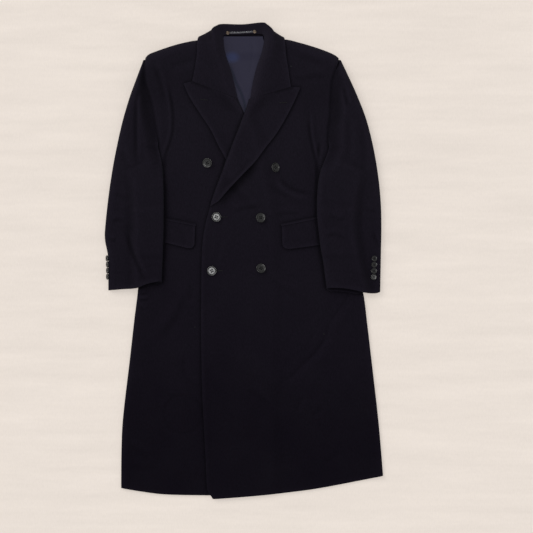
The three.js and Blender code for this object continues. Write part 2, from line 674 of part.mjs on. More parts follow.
// The collar, a row for each section from the right gorge round the back of the neck to the left
// one: its seam in the neck, its fold, and the edge of its fall. On a section marked under, the
// fall is turned beneath the back.
const COLLAR = [
  { seam: at(-16, 412.8, 9.5), fold: at(-36, 420.4, 26), edge: at(-131, 456.7, 20), under: 0 },
  { seam: at(-24, 447, 10), fold: at(-47, 453, 31), edge: at(-127.5, 472, 26), under: 0 },
  { seam: at(-34, 487, 11), fold: at(-58, 492, 35), edge: at(-123, 497, 30), under: 0 },
  { seam: at(-46, 522, 12), fold: at(-69, 527, 40), edge: at(-119, 524, 33), under: 0 },
  { seam: at(-51, 547, 13), fold: at(-73, 555, 41), edge: at(-118, 553, 31), under: 0 },
  { seam: at(-52, 562, 12), fold: at(-77, 588, 36), edge: at(-114, 571, 20), under: 0.3 },
  { seam: at(-53, 571, 10.8), fold: at(-67, 596, 28), edge: at(-94, 562, 2.6), under: 0.85 },
  { seam: at(-46, 574.5, 6.5), fold: at(-52, 598.6, 22), edge: at(-62, 556, 2.6), under: 1 },
  { seam: at(-4, 576, 6.2), fold: at(-4, 597.5, 20), edge: at(-4, 553, 2.6), under: 1 },
  { seam: at(40, 577.5, 6.5), fold: at(44, 602.3, 22), edge: at(54, 556, 2.6), under: 1 },
  { seam: at(49, 574, 10.8), fold: at(57, 599, 28), edge: at(84, 562, 2.6), under: 0.85 },
  { seam: at(51, 565, 12), fold: at(71, 585, 37), edge: at(101, 569, 20), under: 0.3 },
  { seam: at(49.5, 549, 13), fold: at(70, 556, 41), edge: at(104, 553, 31), under: 0 },
  { seam: at(43, 523, 12), fold: at(64, 527, 40), edge: at(107, 520, 33), under: 0 },
  { seam: at(31, 489, 11), fold: at(54, 492, 35), edge: at(112, 490, 30), under: 0 },
  { seam: at(21, 446, 10), fold: at(44, 450, 31), edge: at(116, 462, 26), under: 0 },
  { seam: at(16, 412.6, 9.5), fold: at(36, 418.6, 26), edge: at(119, 442.5, 20), under: 0 },
];
const COLLAR_STEPS = [0, 0.3, 0.62, 1, 1.12, 1.26, 1.42, 1.6, 1.8, 2];
const COLLAR_TURN = 0.3; // share of the fall that the turn at the fold takes up, where it goes under
const COLLAR_TURN_OUT = 4.5;
const COLLAR_FLAT_FROM = 1.42; // where the turned fall lies level under the back

function collar() {
  const sections = [];
  for (let n = 0; n < COLLAR.length - 1; n += 1) {
    sections.push(COLLAR[n]);
    const next = COLLAR[n + 1];
    const between = { under: (COLLAR[n].under + next.under) / 2 };
    for (const key of ['seam', 'fold', 'edge']) between[key] = COLLAR[n][key].clone().lerp(next[key], 0.5);
    sections.push(between);
  }
  sections.push(COLLAR[COLLAR.length - 1]);
  // The outer face's point on a section: up the stand to the fold, then out or under to the edge.
  const pointAt = ({ seam, fold, edge, under }, t) => {
    if (t <= 1) {
      const p = seam.clone().lerp(fold, t);
      p.z = mix(seam.z, fold.z, Math.sin(t * FLAT));
      return p;
    }
    const u = t - 1;
    const over = fold.clone().lerp(edge, u);
    const rest = Math.max(edge.z, pile.topAt(over.x, over.y) + GAP + CLOTH);
    over.z = mix(fold.z, rest, ease(0, 0.9, u));
    const out = fold.clone().sub(seam).setZ(0).normalize();
    const a = Math.min(1, u / COLLAR_TURN) * Math.PI;
    const turned = fold.clone().lerp(edge, clamp01((u - COLLAR_TURN) / (1 - COLLAR_TURN)));
    turned.addScaledVector(out, COLLAR_TURN_OUT * Math.sin(a));
    turned.z = fold.z * (1 + Math.cos(a)) / 2;
    return over.lerp(turned, under);
  };
  return wall(COLLAR_STEPS.length - 1, sections.length - 1, (i, j) => {
    const s = sections[j];
    const t = COLLAR_STEPS[i];
    const point = pointAt(s, t);
    const d = 0.02;
    const along = pointAt(s, Math.min(2, t + d)).sub(pointAt(s, Math.max(0, t - d)));
    const ahead = pointAt(sections[Math.min(sections.length - 1, j + 1)], t);
    const behind = pointAt(sections[Math.max(0, j - 1)], t);
    const inward = along.cross(ahead.sub(behind)).normalize();
    if (t === 0) inward.set(0, 0, -1);
    if (t >= COLLAR_FLAT_FROM && s.under > 0.9) inward.set(0, 0, 1);
    return { point, inward: inward.multiplyScalar(CLOTH) };
  });
}

// The collar rests on the chest by its fall's outer half, on the sections that aren't turned under.
function collarRests(point, n) {
  const section = Math.floor(n / COLLAR_STEPS.length) / 2;
  const row = Math.min(COLLAR[Math.floor(section)].under, COLLAR[Math.ceil(section)].under);
  return row < 0.1 && COLLAR_STEPS[n % COLLAR_STEPS.length] > 0.5;
}

// Hip pocket flaps: where the top edge starts, how it slants, and how far it runs under the sleeve.
const FLAP_LEFT = { x: 97, y: 88, way: 1, slant: 0.2, footSlant: 0.14, wide: 138, deep: 61, corner: 17 };
const FLAP_RIGHT = { x: -125, y: 88, way: -1, slant: 0.2, footSlant: 0.26, wide: 138, deep: 61, corner: 17 };
const FLAP_ROWS = [0, 0.35, 0.7, 0.82, 0.92, 1];

function flap({ x, y, way, slant, footSlant, wide, deep, corner }) {
  const columns = 8;
  return wall(columns, FLAP_ROWS.length - 1, (i, j) => {
    const down = FLAP_ROWS[j];
    const into = clamp01((down * deep - (deep - corner)) / corner);
    const round = corner * (1 - Math.sqrt(1 - into * into));
    const along = mix(2 * down + round, wide - round, i / columns);
    const px = x + way * along;
    const py = y + mix(slant, footSlant, down) * along - down * deep;
    const z = pile.topAt(px, py) + GAP + FLAP_THICK;
    return { point: new THREE.Vector3(px, py, z), inward: new THREE.Vector3(0, 0, -FLAP_THICK) };
  });
}

// The jetting is the narrow strip that edges the pocket mouth above its flap.
function jetting({ x, y, way, slant, wide }) {
  const columns = 8;
  return wall(columns, 2, (i, j) => {
    const along = mix(-2, wide + 2, i / columns);
    const px = x + way * along;
    const py = y + slant * along + SEAM + (JETTING_WIDE * j) / 2;
    const z = pile.topAt(px, py) + GAP + JETTING_THICK;
    return { point: new THREE.Vector3(px, py, z), inward: new THREE.Vector3(0, 0, -JETTING_THICK) };
  });
}

// How thick a laid sleeve is, from cuff to sleeve head.
const SLEEVE_LOFT = [
  { y: -80, loft: CUFF_LOFT }, { y: 60, loft: ELBOW_LOFT }, { y: 230, loft: UPPER_ARM_LOFT },
  { y: 420, loft: 30 }, { y: 512, loft: SLEEVE_HEAD_LOFT },
];
const sleeveLoft = track(SLEEVE_LOFT, 'y', 'loft');

const SLEEVES = {
  right: {
    way: -1,
    body: sideRight,
    shoulder: shoulderRight,
    inner: track(SLEEVE_INNER_RIGHT, 'y', 'x'),
    outer: track(SLEEVE_OUTER_RIGHT, 'y', 'x'),
    cuff: track(CUFF_RIGHT, 'x', 'y'),
  },
  left: {
    way: 1,
    body: sideLeft,
    shoulder: shoulderLeft,
    inner: track(SLEEVE_INNER_LEFT, 'y', 'x'),
    outer: track(SLEEVE_OUTER_LEFT, 'y', 'x'),
    cuff: track(CUFF_LEFT, 'x', 'y'),
  },
};
// Rows of a sleeve. Beside the armhole they stand where the body's rows do, so that the seam is even.
const SLEEVE_FOOT = -80;
function sleeveRows(sleeve) {
  const rows = ARMHOLE_ROWS.map((y0) => bentRow(y0, sleeve.body, () => FOOT, sleeve.shoulder));
  return [SLEEVE_FOOT, -36, 10, 56, 102, 148, 180, 193, 208, ...rows, 510];
}

// The level a sleeve lies on: the body's cloth and the pocket flap, falling to the surface beside it.
function sleeveGround(sleeve, x, y) {
  const beyond = sleeve.way * (x - sleeve.body(y));
  const over = (1 - ease(1, 30, beyond)) * (1 - ease(228, 262, y));
  const pocket = (FLAP_THICK + GAP) * ease(5, 25, y) * (1 - ease(125, 150, y));
  return (chestTop(x, y) + GAP + pocket) * over;
}

// One of a sleeve's two pieces over its places. Rows run level and bend to the cuff.
function sleevePanel(sleeve, innerAt, surface) {
  const places = (y) => {
    const a = sleeve.way * innerAt(y);
    const b = sleeve.way * sleeve.outer(y);
    const turn = Math.min(SLEEVE_TURN, (b - a) * 0.4);
    return placesAcross(a, b, evenSpots(4), turn, turn);
  };
  const rows = sleeveRows(sleeve);
  return wall(places(0).length - 1, rows.length - 1, (i, j) => {
    const y0 = rows[j];
    let y = y0;
    for (let pass = 0; pass < 3; pass += 1) {
      const x = sleeve.way * places(y)[i].at;
      y = y0 + (sleeve.cuff(x) - SLEEVE_FOOT) * (1 - ease(SLEEVE_FOOT, 60, y0));
    }
    const place = places(y)[i];
    return surface({ x: sleeve.way * place.at, y, inAngle: place.low, outAngle: place.high });
  });
}

function undersleeve(side) {
  const sleeve = SLEEVES[side];
  const inner = (y) => {
    if (y < UNDERARM_Y) {
      return mix(sleeve.inner(y), sleeve.body(UNDERARM_Y) + 2 * sleeve.way, ease(190, UNDERARM_Y, y));
    }
    return sleeve.body(y) + sleeve.way * mix(2, SEAM, ease(UNDERARM_Y, 250, y));
  };
  return sleevePanel(sleeve, inner, ({ x, y, inAngle, outAngle }) => {
    const k = 1 - ease(180, 196, y);
    const half = sleeveLoft(y) / 2 - GAP / 2;
    const rise = (1 - Math.sin(inAngle)) * k + (1 - Math.sin(outAngle));
    const z = sleeveGround(sleeve, x, y) + half * rise;
    const inward = new THREE.Vector3(
      sleeve.way * (Math.cos(inAngle) * k - Math.cos(outAngle)),
      0,
      mix(1, Math.sin(inAngle), k) * Math.sin(outAngle),
    ).multiplyScalar(CLOTH);
    return { point: new THREE.Vector3(x, y, z), inward };
  });
}

function topsleeve(side) {
  const sleeve = SLEEVES[side];
  const inner = (y) => (y < 290 ? sleeve.inner(y) : sleeve.body(y) + sleeve.way * SEAM);
  return sleevePanel(sleeve, inner, ({ x, y, inAngle, outAngle }) => {
    const k = 1 - ease(190, UNDERARM_Y, y);
    const thick = sleeveLoft(y);
    const ground = sleeveGround(sleeve, x, y);
    const reach = sleeve.way * (x - inner(y));
    const width = sleeve.way * (sleeve.outer(y) - inner(y));
    const middle = (2 * reach) / width - 1;
    const folds = Math.max(-4, foldHeight(SLEEVE_FOLDS, x, y));
    const crown = ground + thick * (1 - 0.16 * middle * middle) + folds;
    const seamTop = chestTop(inner(y), y) + mix(GAP + CLOTH, 1.2, ease(292, 312, y));
    const nearSeam = (1 - ease(4, Math.min(64, width * 0.8), reach)) * ease(200, 280, y);
    const flat = mix(crown, Math.min(crown, seamTop), nearSeam);
    const innerRim = mix(Math.min(flat, seamTop), ground + thick / 2 + GAP / 2, k);
    const outerRim = ground + thick / 2 + GAP / 2;
    const inDrop = (flat - innerRim) * (1 - Math.sin(inAngle));
    const outDrop = (flat - outerRim) * (1 - Math.sin(outAngle));
    const inward = new THREE.Vector3(
      sleeve.way * (Math.cos(inAngle) * k - Math.cos(outAngle)),
      0,
      -mix(1, Math.sin(inAngle), k) * Math.sin(outAngle),
    ).multiplyScalar(CLOTH);
    return { point: new THREE.Vector3(x, y, flat - inDrop - outDrop), inward };
  });
}

// The slope of the pile at a place, as the direction that stands square to it.
function squareTo(x, y, reach) {
  const dx = (pile.topAt(x + reach, y) - pile.topAt(x - reach, y)) / (2 * reach);
  const dy = (pile.topAt(x, y + reach) - pile.topAt(x, y - reach)) / (2 * reach);
  return new THREE.Vector3(-dx, -dy, 1).normalize();
}

// A turned horn button: a flat foot, a rounded rim and a dished middle.
function buttonGeometry({ across, thick, rim, dish }, sides) {
  const r = across / 2;
  const profile = [
    [0, 0], [r - 1.6, 0], [r, thick * 0.4], [r - 0.4, thick * 0.8], [r - rim * 0.55, thick],
    [r - rim - 0.8, thick - dish], [0, thick - dish],
  ];
  const geometry = new THREE.LatheGeometry(profile.map(([x, y]) => new THREE.Vector2(x, y)), sides);
  return geometry.rotateX(Math.PI / 2);
}

const UP = new THREE.Vector3(0, 0, 1);
const HORN = { color: COLOURS.horn, roughness: 0.25 };
const STEEL = { color: COLOURS.chain, roughness: 0.3, metalness: 1 };
const BRASS = { color: COLOURS.plate, roughness: 0.4, metalness: 1 };

function fasten(name, geometry, place, normal, look) {
  const mesh = new THREE.Mesh(geometry, new THREE.MeshStandardMaterial(look));
  mesh.name = name;
  mesh.position.copy(place);
  mesh.quaternion.setFromUnitVectors(UP, normal);
  coat.add(mesh);
}

const FRONT_BUTTONS = [
  { name: 'front_button_1', x: -93, y: 249 }, { name: 'front_button_2', x: 79, y: 237 },
  { name: 'front_button_3', x: -70, y: 111 }, { name: 'front_button_4', x: 42, y: 109 },
  { name: 'front_button_5', x: -82, y: -26 }, { name: 'front_button_6', x: 43, y: -20 },
];
const CUFF_BUTTON_STEP = 15.6;
const CUFF_BUTTONS_LEFT = { x: 331, y: 5 };
const CUFF_BUTTONS_RIGHT = { y: 6, z: 10, tilt: 20 };

// A button lies on the cloth, lowered until its foot is a seam's gap off the highest cloth under it.
function seatHeight(x, y, r) {
  let top = pile.topAt(x, y);
  for (let n = 0; n < 16; n += 1) {
    const a = (n / 16) * 2 * Math.PI;
    top = Math.max(top, pile.topAt(x + r * Math.cos(a), y + r * Math.sin(a)));
  }
  return top + GAP;
}

function frontButtons() {
  for (const { name, x, y } of FRONT_BUTTONS) {
    const place = new THREE.Vector3(x, y, seatHeight(x, y, FRONT_BUTTON.across / 2));
    fasten(name, buttonGeometry(FRONT_BUTTON, 16), place, UP, HORN);
  }
}

function cuffButtons() {
  for (let n = 0; n < 4; n += 1) {
    const y = CUFF_BUTTONS_LEFT.y - n * CUFF_BUTTON_STEP;
    const x = CUFF_BUTTONS_LEFT.x - 0.4 * n;
    const normal = squareTo(x, y, CUFF_BUTTON.across / 2);
    const r = CUFF_BUTTON.across / 2;
    let lift = 0;
    for (let a = 0; a < 24; a += 1) {
      for (const share of [0.35, 0.7, 1]) {
        const dx = r * share * Math.cos((a * Math.PI) / 12);
        const dy = r * share * Math.sin((a * Math.PI) / 12);
        const plane = -(normal.x * dx + normal.y * dy) / normal.z;
        lift = Math.max(lift, pile.topAt(x + dx, y + dy) - plane - pile.topAt(x, y));
      }
    }
    const place = new THREE.Vector3(x, y, pile.topAt(x, y) + lift + GAP);
    fasten(`cuff_button_left_${n + 1}`, buttonGeometry(CUFF_BUTTON, 10), place, normal, HORN);
  }
  const tilt = THREE.MathUtils.degToRad(CUFF_BUTTONS_RIGHT.tilt);
  for (let n = 0; n < 4; n += 1) {
    const y = CUFF_BUTTONS_RIGHT.y - n * CUFF_BUTTON_STEP;
    const normal = new THREE.Vector3(-Math.cos(tilt), 0, Math.sin(tilt));
    const half = CUFF_BUTTON.across / 2;
    const edges = [y - half, y, y + half].map(SLEEVES.right.outer);
    const place = new THREE.Vector3(Math.min(...edges), y, CUFF_BUTTONS_RIGHT.z);
    place.addScaledVector(normal, 2 * GAP);
    fasten(`cuff_button_right_${n + 1}`, buttonGeometry(CUFF_BUTTON, 10), place, normal, HORN);
  }
}

// The hanger chain and the two plates that hold it on the stand.
const HANGER = { plate: 4.2, plateThick: 1.2, steps: 8, sag: 0.8 };
const HANGER_ENDS = [
  { name: 'hanger_plate_right', x: -41, y: 581 },
  { name: 'hanger_plate_left', x: 27, y: 584 },
];

function hanger() {
  const { plate, plateThick, steps, sag } = HANGER;
  for (const { name, x, y } of HANGER_ENDS) {
    const normal = squareTo(x, y, plate);
    const place = new THREE.Vector3(x, y, pile.topAt(x, y));
    place.addScaledVector(normal, 2 * GAP + plateThick / 2);
    const disc = new THREE.CylinderGeometry(plate, plate, plateThick, 12).rotateX(FLAT);
    fasten(name, disc, place, normal, BRASS);
  }
  const [from, to] = HANGER_ENDS;
  const line = [];
  for (let n = 0; n <= steps; n += 1) {
    const x = mix(from.x + plate + 1, to.x - plate - 1, n / steps);
    const y = mix(from.y, to.y, n / steps) - sag * Math.sin((n / steps) * Math.PI);
    line.push(new THREE.Vector3(x, y, pile.topAt(x, y) + GAP + CHAIN_THICK * 0.75));
  }
  const section = new THREE.Shape();
  section.absarc(0, 0, CHAIN_THICK / 2, 0, 2 * Math.PI);
  const extrudePath = new THREE.CatmullRomCurve3(line);
  const options = { steps: steps + 2, curveSegments: 6, bevelEnabled: false, extrudePath };
  fasten('hanger_chain', new THREE.ExtrudeGeometry(section, options), new THREE.Vector3(), UP, STEEL);
}

// The coat is laid down piece by piece, from the surface up.
lay('back', back());
lay('back_lining', settle(backLining(), pile), COLOURS.lining, 0.45);
lay('front_right', settle(front('right'), pile));
lay('lapel_right', settle(lapel('right'), pile));
lay('front_left', settle(front('left'), pile));
lay('lapel_left', settle(lapel('left'), pile));
lay('collar', settle(collar(), pile, collarRests));
lay('flap_right', settle(flap(FLAP_RIGHT), pile));
lay('flap_left', settle(flap(FLAP_LEFT), pile));
lay('jetting_right', settle(jetting(FLAP_RIGHT), pile));
lay('jetting_left', settle(jetting(FLAP_LEFT), pile));
for (const side of ['right', 'left']) {
  lay(`undersleeve_${side}`, settle(undersleeve(side), pile, ({ y }) => y < 240));
  lay(`topsleeve_${side}`, settle(topsleeve(side), pile, ({ y }) => y < 300));
}
frontButtons();
cuffButtons();
hanger();

export default coat;
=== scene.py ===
"""A long double-breasted coat, laid flat on its back with the fronts up.

Lengths in the tables and formulas are millimetres, and become metres where a mesh is made.
X runs to the viewer's right, which is the wearer's left, Y to the collar, and Z up from the
surface.
"""

import json
import math

import bpy
import numpy as np
from bpy.props import FloatProperty, FloatVectorProperty, IntProperty, PointerProperty
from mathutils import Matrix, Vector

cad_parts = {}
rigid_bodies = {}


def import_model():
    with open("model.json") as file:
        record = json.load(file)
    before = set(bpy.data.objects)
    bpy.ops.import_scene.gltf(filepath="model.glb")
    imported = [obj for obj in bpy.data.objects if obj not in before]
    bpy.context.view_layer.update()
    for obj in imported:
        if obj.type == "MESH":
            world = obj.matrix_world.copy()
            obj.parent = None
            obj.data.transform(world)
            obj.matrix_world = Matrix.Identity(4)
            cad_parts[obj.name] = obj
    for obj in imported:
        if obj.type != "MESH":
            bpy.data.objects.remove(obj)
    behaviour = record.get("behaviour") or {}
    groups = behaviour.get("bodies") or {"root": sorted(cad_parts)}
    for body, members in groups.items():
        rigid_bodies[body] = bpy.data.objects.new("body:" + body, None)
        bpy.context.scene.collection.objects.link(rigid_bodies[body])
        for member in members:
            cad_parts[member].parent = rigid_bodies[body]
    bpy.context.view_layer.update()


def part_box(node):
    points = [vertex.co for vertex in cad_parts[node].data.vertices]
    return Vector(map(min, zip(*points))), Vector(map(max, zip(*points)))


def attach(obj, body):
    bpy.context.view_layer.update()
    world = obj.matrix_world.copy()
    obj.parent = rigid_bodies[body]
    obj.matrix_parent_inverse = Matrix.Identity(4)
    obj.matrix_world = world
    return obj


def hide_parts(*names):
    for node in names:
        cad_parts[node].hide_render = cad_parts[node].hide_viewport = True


bl_info = {
    "name": "Laid double-breasted coat",
    "version": (1, 0, 0),
    "blender": (4, 5, 0),
    "location": "3D View > Sidebar > Coat",
    "description": "Builds the cloth, lining, buttons and hanger chain of a coat laid flat",
    "category": "Object",
}

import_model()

MM = 0.001
FLAT = math.pi / 2
MIDDLE = -5.0  # the coat's own centre line
GAP = 0.3  # between layers

# How far the fronts stand off the back.
REST_LOFT, CHEST_LOFT, SHOULDER_LOFT, PAD_LOFT, SIDE_PUFF = 1.2, 10.0, 20.0, 6.0, 3.2
# Side and shoulder folds: height of the seam, and how far the turn reaches in, under and over.
SIDE_SEAM, SIDE_TURN_UNDER, SIDE_TURN_OVER = 5.5, 5.5, 9.0
SHOULDER_SEAM, SHOULDER_TURN_UNDER, SHOULDER_TURN_OVER = 13.0, 14.0, 20.0
NECK_LIFT, NECK_Y, NECK_SLANT = 3.4, 573.5, 0.03
SLEEVE_TURN, UNDERARM_Y = 12.0, 226.0
FOOT, HEAD, SLEEVE_FOOT, SLEEVE_END = -600.0, 520.0, -80.0, 510.0
PANEL_WIDE, SLEEVE_WIDE, LAPEL_FOOT = 480.0, 130.0, 138.0
CREASED = 1.5  # how much a crease's height in the tables is raised
LINING_ENDS, LINING_HALF_WIDTHS = (335, 571), (86, 50)

# Outlines: (y, x) of one edge at rising heights on the coat.
SIDE_RIGHT = (
    (-600, -313), (-500, -312.5), (-410, -309), (-253, -291), (-147, -279), (-72, -270), (0, -267),
    (80, -268), (150, -270), (205, -274), (226, -277), (236, -268), (248, -246), (264, -227),
    (290, -219), (320, -222), (359, -229.5), (397, -237), (430, -245), (456, -252.5), (481, -254),
    (512, -251), (530, -249),
)
SIDE_LEFT = (
    (-600, 358), (-548, 354.5), (-410, 342.7), (-259, 325.6), (-160, 314), (-83, 304), (0, 283),
    (80, 270), (150, 273), (205, 282), (226, 283), (236, 272), (248, 246), (264, 226), (290, 217),
    (333, 215.5), (371, 221), (410, 222), (456, 225), (481, 232), (512, 240), (530, 242),
)
EDGE_LEFT = (
    (-606, -79), (-585, -92), (-559, -94.5), (-483, -98), (-406, -102), (-325, -106),
    (-177, -108.5),
    (-75, -108), (-3, -107), (53, -104), (99, -96), (132, -87), (167, -78), (211, -62), (257, -45),
    (308, -25.5), (366, -2.6), (400, 9), (436, 18.6), (491, 31), (533, 45), (572, 50),
)
EDGE_RIGHT = (
    (-600, 64), (-406, 60), (-253, 61), (-3, 64), (99, 63), (132, 60), (167, 54), (211, 43),
    (257, 33), (308, 21.5), (350, 9), (373, 1.8), (411, -15), (447, -24), (483, -32), (521, -47),
    (572, -52),
)
LAPEL_EDGE_LEFT = (
    (134, -79), (160, -58), (183, -38), (204, -18), (223.5, 0.5), (252, 28), (287, 54),
    (323, 82), (361, 105), (399.5, 125), (440, 143),
)
LAPEL_EDGE_RIGHT = (
    (134, 47), (172.5, 12), (211, -20), (252, -42), (292, -64), (333, -84), (374, -111),
    (415, -137), (450, -153),
)
SLEEVE_OUTER_RIGHT = (
    (-80, -345.5), (-39, -345.5), (12, -346.5), (50, -353.5), (72, -354.4), (155, -346),
    (225, -336), (284, -325), (355, -309), (416, -291), (457, -276), (500, -260), (514, -255.5),
)
SLEEVE_INNER_RIGHT = (
    (-52, -209), (0, -207), (53, -205), (142, -204), (193, -205), (231, -206.5), (252, -210),
    (272, -215), (290, -219.6),
)
SLEEVE_OUTER_LEFT = (
    (-80, 347), (0, 348.5), (92, 350), (155, 348), (222, 341), (293, 328.5), (361, 311), (423, 287),
    (482, 260), (500, 251.5), (514, 245.5),
)
SLEEVE_INNER_LEFT = (
    (-69, 210), (-3, 201.5), (27, 196), (65, 191), (116, 186), (160, 186), (206, 190), (232, 196),
    (254, 205), (272, 213), (290, 217.6),
)
# Outlines that run across the coat: (x, y).
HEM_RIGHT = (
    (-313, -578.7), (-265, -587), (-206.6, -594.4), (-113.5, -597), (-10, -597), (89, -594),
)
HEM_LEFT = (
    (-82, -606.3), (-70, -606.5), (37.7, -598.1), (120, -589), (193.8, -578.7), (354.5, -547.9),
)
SHOULDER_RIGHT = (
    (-254, 512), (-244, 524), (-222, 533.5), (-195, 543), (-163, 552.5), (-118, 561), (-98, 558),
    (-60, 556),
)
SHOULDER_LEFT = (
    (60, 555), (92, 558), (106, 563), (143, 554.5), (177, 544.6), (209, 533.4), (232, 523),
    (243, 514),
)
CUFF_RIGHT = (
    (-347, -75), (-310, -72), (-273, -69), (-248, -59), (-222, -53), (-205, -52),
)
CUFF_LEFT = (
    (205, -69), (246, -69), (280, -74), (310, -81), (334, -82.5), (349, -79),
)
# Where the gorge seam runs on each lapel: the roll, the notch and the tip of the peak.
GORGE_LEFT = ((15, 411.5), (119, 442), (143, 440))
GORGE_RIGHT = ((-15.3, 411.5), (-131, 456), (-153, 450))

# Soft folds along straight runs: x0, y0, x1, y1, rise, half width.
BODY_FOLDS = (
    (-120, -70, -200, -150, 3.2, 30),
    (-200, -150, -262, -225, 3.0, 32),
    (-163, -392, -163, -396, 2.0, 52),
    (252, -98, 212, -160, -2.0, 20),
    (205, -185, 120, -282, -2.2, 20),
    (215, -235, 150, -312, 2.0, 26),
    (96, 196, 176, 166, -1.6, 18),
    (168, 380, 186, 190, -2.2, 16),
    (-208, 470, -186, 330, -2.4, 18),
    (-186, 330, -206, 255, -2.4, 16),
)
SLEEVE_FOLDS = (
    (-272, 420, -278, 240, -2.6, 17),
    (-296, 80, -256, -40, -3.0, 17),
    (-228, 190, -226, -20, 1.8, 16),
    (252, 440, 262, 396, -1.8, 14),
    (232, 80, 268, 30, -1.6, 18),
)
# Creases along curved runs: points, rise, half width, and the lip of cloth pushed up beside it,
# to the left of the run where it is above nought and to the right where it is below.
BODY_CREASES = (
    (((272, -70), (250, -98), (214, -146), (198, -190), (172, -232), (138, -261), (108, -290),
      (90, -306)),
     -2.6, 10, 1.7),
    (((150, -342), (139, -362), (130, -388)), -0.8, 7, 0.6),
    (((200, -372), (186, -383), (170, -398)), -0.7, 6, 0.5),
    (((248, -480), (222, -500), (196, -518)), -0.8, 8, 0.6),
    (((8, -326), (36, -345), (64, -370)), -0.7, 8, 0.5),
    (((-110, -22), (-155, -113), (-184, -164), (-224, -209)), -1.7, 13, -1.2),
    (((-270, -80), (-258, -84), (-246, -82)), -1.2, 3.5, 1.2),
    (((-272, -97), (-258, -100), (-240, -96)), -1.3, 3.5, 1.3),
    (((-274, -118), (-262, -120), (-250, -126)), -0.9, 4, 0.9),
    (((-146, -233), (-156, -266), (-146, -299), (-114, -328)), -0.6, 7, 0.5),
    (((-196, -338), (-186, -342), (-172, -338)), -0.6, 5, 0.5),
    (((-300, -470), (-268, -484), (-240, -510)), -0.7, 9, 0.7),
    (((-306, -520), (-262, -528), (-214, -524)), -0.6, 9, 0.5),
    (((88, 212), (108, 192), (136, 178), (184, 166)), -1.7, 6, -1.7),
    (((64, 200), (88, 174), (118, 160)), -0.9, 9, 0.8),
    (((-30, 124), (6, 134), (48, 139)), -0.9, 6, 0.8),
    (((76, 116), (112, 121), (146, 119)), -0.8, 6, 0.7),
    (((164, 392), (167, 330), (175, 284), (184, 240), (187, 118)), -1.9, 3.8, 1.3),
    (((194, 312), (189, 262), (187, 196), (186, 140)), -1.8, 4, 1.0),
    (((-204, 470), (-190, 430), (-182, 385), (-181, 335), (-188, 303), (-199, 270), (-203, 235),
      (-204, 190)),
     -1.7, 4.2, -0.9),
    (((-236, 500), (-222, 478), (-210, 440), (-202, 396)), -1.1, 6, 1.0),
    (((122, 470), (150, 462), (182, 468), (214, 462)), -0.9, 8, 0.9),
    (((130, 520), (168, 512), (206, 494)), -0.9, 9, 0.8),
    (((-120, 512), (-158, 506), (-196, 486)), -1.0, 9, 0.8),
    (((-60, 60), (-70, 20), (-84, -14)), -0.7, 8, 0.6),
    (((56, -36), (96, -70), (150, -92)), -0.8, 10, 0.8),
    (((-176, 96), (-160, 66), (-152, 30)), -0.7, 8, 0.7),
)
SLEEVE_CREASES = (
    (((-266, 436), (-274, 400), (-276, 330), (-274, 232)), -1.8, 5, 1.4),
    (((-240, 345), (-232, 300), (-223, 244)), 1.6, 7, 0.0),
    (((-300, 84), (-290, 38), (-274, -4), (-250, -56)), -2.0, 5.5, 1.8),
    (((-336, 96), (-322, 104), (-304, 100)), -1.2, 6, 1.0),
    (((-350, 60), (-336, 52), (-322, 56)), -1.2, 5, 1.0),
    (((-322, 286), (-306, 262), (-298, 226)), -1.0, 8, 0.8),
    (((-330, 176), (-308, 160), (-284, 164)), -0.8, 8, 0.7),
    (((252, 446), (258, 416), (264, 392)), -1.8, 5, 1.3),
    (((262, 372), (266, 310), (262, 236)), -1.0, 8, 0.9),
    (((300, 330), (306, 276), (300, 216)), -0.9, 9, 0.8),
    (((326, 76), (338, 50), (348, 26)), -1.5, 5, 1.2),
    (((214, 118), (236, 104), (262, 108)), -1.1, 7, 1.0),
    (((206, 60), (228, 66), (256, 56)), -1.0, 6, 0.9),
    (((300, 140), (322, 126), (340, 130)), -0.8, 7, 0.7),
)
RING = (-155.5, -390.0, 48.5)  # middle and radius of the ring pressed into the skirt
LINING_CREASES = (
    (((-40, 520), (-31, 486), (-20, 455), (-6, 426), (2, 400), (6, 376), (8, 340)), -1.1, 4, 0.5),
    (((-24, 575), (-27, 552), (-24, 532)), -0.25, 4, 0.2),
    (((22, 470), (14, 440), (10, 410)), 0.5, 3.5, 0.0),
    (((18, 568), (22, 540), (18, 500), (10, 455)), -0.4, 6, 0.4),
    (((-70, 571), (-6, 568), (60, 571)), 0.5, 3.5, 0.0),
)
# Shade that the lapel's raised foot throws on the front under it: runs beside its edge.
SHADOWS = {
    "left": (
        (((42, 256), (20, 231), (-3, 206), (-26, 183), (-53, 154), (-73, 128)), -0.46, 11, 0.0),),
    "right": (),
}

